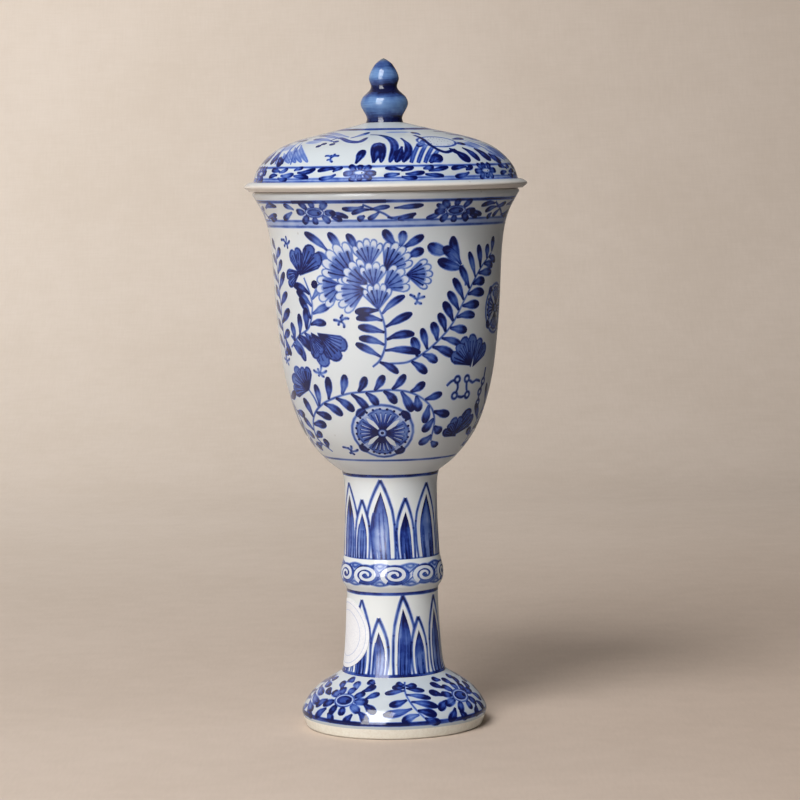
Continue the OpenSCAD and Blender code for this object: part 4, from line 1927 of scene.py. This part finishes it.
@dataclass
class Collar(Piece):
    """The bare clay ring under the cover that keeps it in the bowl's mouth.

    Attributes:
        rounding: Reach of its rounded edges in millimetres.
    """

    weld: ClassVar[float] = 1e-6
    sharp: ClassVar[float] = 0.7
    node: str = "locating_collar"
    body: str = "cover"
    finish: Finish = BareClay("collar_clay")
    slot: str = "bare_clay"
    rounding: float = 0.6

    def build(self) -> bpy.types.Object:
        """Spin the collar's section, round its edges and set it under the cover.

        Returns:
            The finished object.
        """
        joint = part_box(self.node)[0].z / MM
        outline = Outline.read(self.node, joint)
        loop = np.vstack([outline.wall[:-1], outline.rest[:-1]])
        solid = bmesh.new()
        verts = [solid.verts.new((0.0, radius * MM, height * MM)) for radius, height in loop]
        for pair in zip(verts[-1:] + verts, verts):
            solid.edges.new(pair)
        spin_round(solid)
        bmesh.ops.remove_doubles(solid, verts=solid.verts, dist=self.weld)
        bmesh.ops.recalc_face_normals(solid, faces=solid.faces)
        sharp = [edge for edge in solid.edges if edge.is_manifold and edge.calc_face_angle() > self.sharp]
        bmesh.ops.bevel(solid, geom=sharp, offset=self.rounding * MM, affect="EDGES", segments=3,
                        profile=0.5, material=-1)
        return self.settle("clay", smooth_mesh(solid, self.node))


@dataclass
class PaperLabel(Piece):
    """The round paper label on the lower stem, left blank but for two plain rings.

    Attributes:
        carrier: The CAD node that it is stuck on.
        below: The CAD node whose top is the joint that the carrier's outside starts from.
        turn: Angle of its middle from the front, in degrees.
        gum: Distance between paper and glaze.
        spokes: Faces round it.
        rings: Faces from its middle to its edge.
    """

    weld: ClassVar[float] = 1e-4
    sharp: ClassVar[float] = 50.0
    node: str = "paper_label"
    body: str = "cup"
    finish: Finish = LabelPaper("label_paper")
    slot: str = "label_paper"
    carrier: str = "lower_stem"
    below: str = "foot"
    radius: float = 13.5
    height: float = 37.2
    turn: float = -72.0
    gum: float = 0.05
    thick: float = 0.2
    spokes: int = 96
    rings: int = 18

    def build(self) -> bpy.types.Object:
        """Spin a disc, wrap it on the stem and give it its thickness.

        Returns:
            The finished object.
        """
        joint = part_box(self.below)[1].z / MM
        wall = Wall(Outline.read(self.carrier, joint).wall)
        solid = bmesh.new()
        reach = solid.verts.layers.float.new("reach")
        spoke = [solid.verts.new((self.radius * ring / self.rings, 0, 0)) for ring in range(self.rings + 1)]
        for pair in zip(spoke, spoke[1:]):
            solid.edges.new(pair)
        spin_round(solid, self.spokes)
        bmesh.ops.remove_doubles(solid, verts=solid.verts, dist=self.weld)
        made = bmesh.ops.extrude_face_region(solid, geom=solid.faces[:], use_keep_orig=True)["geom"]
        raised = {item for item in made if isinstance(item, bmesh.types.BMVert)}
        middle, run = wall.place(0.0, self.height, math.radians(self.turn))
        radius = float(wall.radius_at(np.array(run)))
        for vert in solid.verts:
            vert[reach] = math.hypot(vert.co.x, vert.co.y)
            lift = self.gum + (self.thick if vert in raised else 0.0)
            place = wall.points(np.array(middle + vert.co.x / radius), np.array(run + vert.co.y), lift)
            vert.co = Vector(place.tolist())
        bmesh.ops.recalc_face_normals(solid, faces=solid.faces)
        mesh = smooth_mesh(solid, self.node)
        mesh.set_sharp_from_angle(angle=math.radians(self.sharp))
        return self.settle("disc", mesh)


@dataclass(frozen=True)
class Softbox:
    """A square lamp that faces the cup.

    It is turned from the front and raised above the cup's middle by angles in degrees. Its distance and
    the length of its side are in metres, and its power in watts.
    """

    name: str
    turn: float
    rise: float
    far: float
    size: float
    power: float

    def way(self) -> Vector:
        """Return the way from the cup to the lamp."""
        turn, rise = math.radians(self.turn), math.radians(self.rise)
        return Vector((math.sin(turn) * math.cos(rise), -math.cos(turn) * math.cos(rise), math.sin(rise)))


@dataclass
class Studio:
    """The beige sweep, the lamps, the dim room and the camera.

    The key lights the cup. The gleam, low beside the camera, shows only as an upright reflection in the
    glaze. The wall lamp reaches only the cloth behind. Lengths are in metres and angles in degrees.
    """

    cloth: StudioCloth = StudioCloth("studio_cloth")
    half_wide: float = 3.0
    front: float = -3.0
    back: float = 0.75
    bend: float = 0.5
    tall: float = 3.0
    camera_place: Place = (0.0, -1.139, 0.222)
    camera_target: Place = (0.0042, 0.0, 0.1274)
    camera_roll: float = 0.95
    lens: float = 131.9
    sensor: float = 36.0
    key: Softbox = Softbox("key_softbox", -25.0, 42.0, 2.1, 1.15, 48.0)
    gleam: Softbox = Softbox("gleam_softbox", -26.5, 10.5, 1.22, 0.66, 13.0)
    aim: Place = (0.0, 0.0, 0.13)
    wall_place: Place = (-0.9, 0.3, 1.3)
    wall_target: Place = (-0.35, 1.25, 0.4)
    wall_size: float = 0.6
    wall_power: float = 0.7
    wall_spread: float = 80.0
    room_light: float = 0.24
    room_left: Colour = (0.95, 0.98, 1.0, 1.0)
    room_right: Colour = (0.14, 0.14, 0.14, 1.0)
    backdrop: Colour = srgb(184, 168, 153)

    def build(self) -> None:
        """Make everything round the cup."""
        self.build_sweep()
        self.build_camera()
        self.build_softbox(self.key)
        self.build_softbox(self.gleam).visible_diffuse = False
        self.build_wall_lamp()
        self.build_room()
        bpy.context.scene.view_settings.view_transform = "Standard"

    def build_sweep(self) -> None:
        """Make the floor, which bends up into a wall behind."""
        solid = bmesh.new()
        steps = 16
        bends = [math.radians(step * 90 / steps) for step in range(steps + 1)]
        line = [(self.front, 0.0)]
        line += [(self.back + self.bend * math.sin(a), self.bend * (1 - math.cos(a))) for a in bends]
        line += [(self.back + self.bend, self.tall)]
        verts = [solid.verts.new((-self.half_wide, y, z)) for y, z in line]
        edges = [solid.edges.new(pair) for pair in zip(verts, verts[1:])]
        made = bmesh.ops.extrude_edge_only(solid, edges=edges)["geom"]
        moved = [item for item in made if isinstance(item, bmesh.types.BMVert)]
        bmesh.ops.translate(solid, verts=moved, vec=(2 * self.half_wide, 0, 0))
        bmesh.ops.recalc_face_normals(solid, faces=solid.faces)
        mesh = smooth_mesh(solid, "studio_sweep")
        mesh.materials.append(self.cloth.make())
        sweep = linked("studio_sweep", mesh)

    def build_camera(self) -> None:
        """Set the camera where the photograph was taken from."""
        data = bpy.data.cameras.new("camera")
        data.lens = self.lens
        data.sensor_width = self.sensor
        camera = linked("camera", data)
        place, target = Vector(self.camera_place), Vector(self.camera_target)
        look = (target - place).to_track_quat("-Z", "Y")
        camera.location = place
        camera.rotation_mode = "QUATERNION"
        camera.rotation_quaternion = look @ Quaternion((0, 0, 1), math.radians(-self.camera_roll))
        bpy.context.scene.camera = camera

    def build_softbox(self, box: Softbox) -> bpy.types.Object:
        """Hang a softbox that faces the cup."""
        way = box.way()
        return self.build_lamp(box.name, Vector(self.aim) + way * box.far, -way, box.size, box.power)

    def build_wall_lamp(self) -> None:
        """Hang the lamp at the left that reaches only the wall behind."""
        place = Vector(self.wall_place)
        look = Vector(self.wall_target) - place
        lamp = self.build_lamp("wall_softbox", place, look, self.wall_size, self.wall_power)
        lamp.data.spread = math.radians(self.wall_spread)

    @staticmethod
    def build_lamp(name: str, place: Vector, look: Vector, size: float, power: float) -> bpy.types.Object:
        """Hang a square lamp.

        Args:
            name: Its name.
            place: Where it hangs.
            look: The way that it faces.
            size: Length of its side.
            power: Its power in watts.

        Returns:
            The lamp.
        """
        data = bpy.data.lights.new(name, "AREA")
        data.shape = "RECTANGLE"
        data.size = data.size_y = size
        data.energy = power
        lamp = linked(name, data)
        lamp.location = place
        lamp.rotation_mode = "QUATERNION"
        lamp.rotation_quaternion = look.to_track_quat("-Z", "Y")
        return lamp

    def build_room(self) -> None:
        """Light the room dimly, with its right side darker."""
        world = bpy.data.worlds.new("room")
        bpy.context.scene.world = world
        graph = ShaderGraph(world)
        way = graph.node("ShaderNodeTexCoord", {}, {})[0]
        across = graph.node("ShaderNodeSeparateXYZ", {}, {0: way})[0]
        tint = graph.mix(across.ease(-0.4, 0.8), self.room_left, self.room_right)
        seen = graph.node("ShaderNodeLightPath", {}, {})[0]
        dim = graph.node("ShaderNodeBackground", {}, {0: tint, 1: self.room_light})[0]
        pale = graph.node("ShaderNodeBackground", {}, {0: self.backdrop, 1: 1.0})[0]
        background = graph.node("ShaderNodeMixShader", {}, {0: seen, 1: dim, 2: pale})[0]
        graph.node("ShaderNodeOutputWorld", {}, {"Surface": background})


def sections() -> list[Section]:
    """Lay out the turned pieces and their finishes.

    Returns:
        The pieces from the foot up.
    """
    # The foot and the cover face up towards the key, so their whites are set darker than the stems':
    # painted shade.
    foot = PaintedPorcelain("foot_shaded_glaze", 4.4, None, srgb(198, 204, 209), srgb(191, 199, 206))
    bowl = PaintedPorcelain("bowl_glaze", None, (208.9, 210.4), srgb(216, 219, 220), srgb(208, 213, 217))
    cover = PaintedPorcelain("cover_shaded_glaze", None, (213.4, 211.6), srgb(198, 204, 207), srgb(192, 199, 204),
                             brown=srgb(228, 216, 203), gloss=0.1)
    knop = PaintedPorcelain("knop_glaze", brown_edge=(258.8, 260.2), brown=srgb(112, 112, 96),
                            cobalt=KNOP_BLUE)
    return [
        Foot("foot", "cup", foot, inside=BareClay("foot_clay")),
        LowerStem("lower_stem", "cup", PaintedPorcelain("lower_stem_glaze"), below="foot"),
        StemRing("stem_ring", "cup", PaintedPorcelain("stem_ring_glaze"), below="lower_stem"),
        UpperStem("upper_stem", "cup", PaintedPorcelain("upper_stem_glaze"), below="stem_ring"),
        Bowl("bowl", "cup", bowl, below="upper_stem"),
        Cover("cover", "cover", cover, below="bowl"),
        Knop("knop", "cover", knop, "blue_glaze", below="cover"),
    ]


def main() -> None:
    """Build the cup and the studio round it."""
    logging.basicConfig(level=logging.INFO, format="%(message)s")
    Studio().build()
    for number, section in enumerate(sections()):
        piece = section.build(random.Random(SEED + number))
        LOG.info("%s: %d faces, on %s", piece.name, len(piece.data.polygons), section.body)
    for extra in (Collar(), PaperLabel()):
        piece = extra.build()
        LOG.info("%s: %d faces, on %s", piece.name, len(piece.data.polygons), extra.body)


if __name__ == "__main__":
    main()
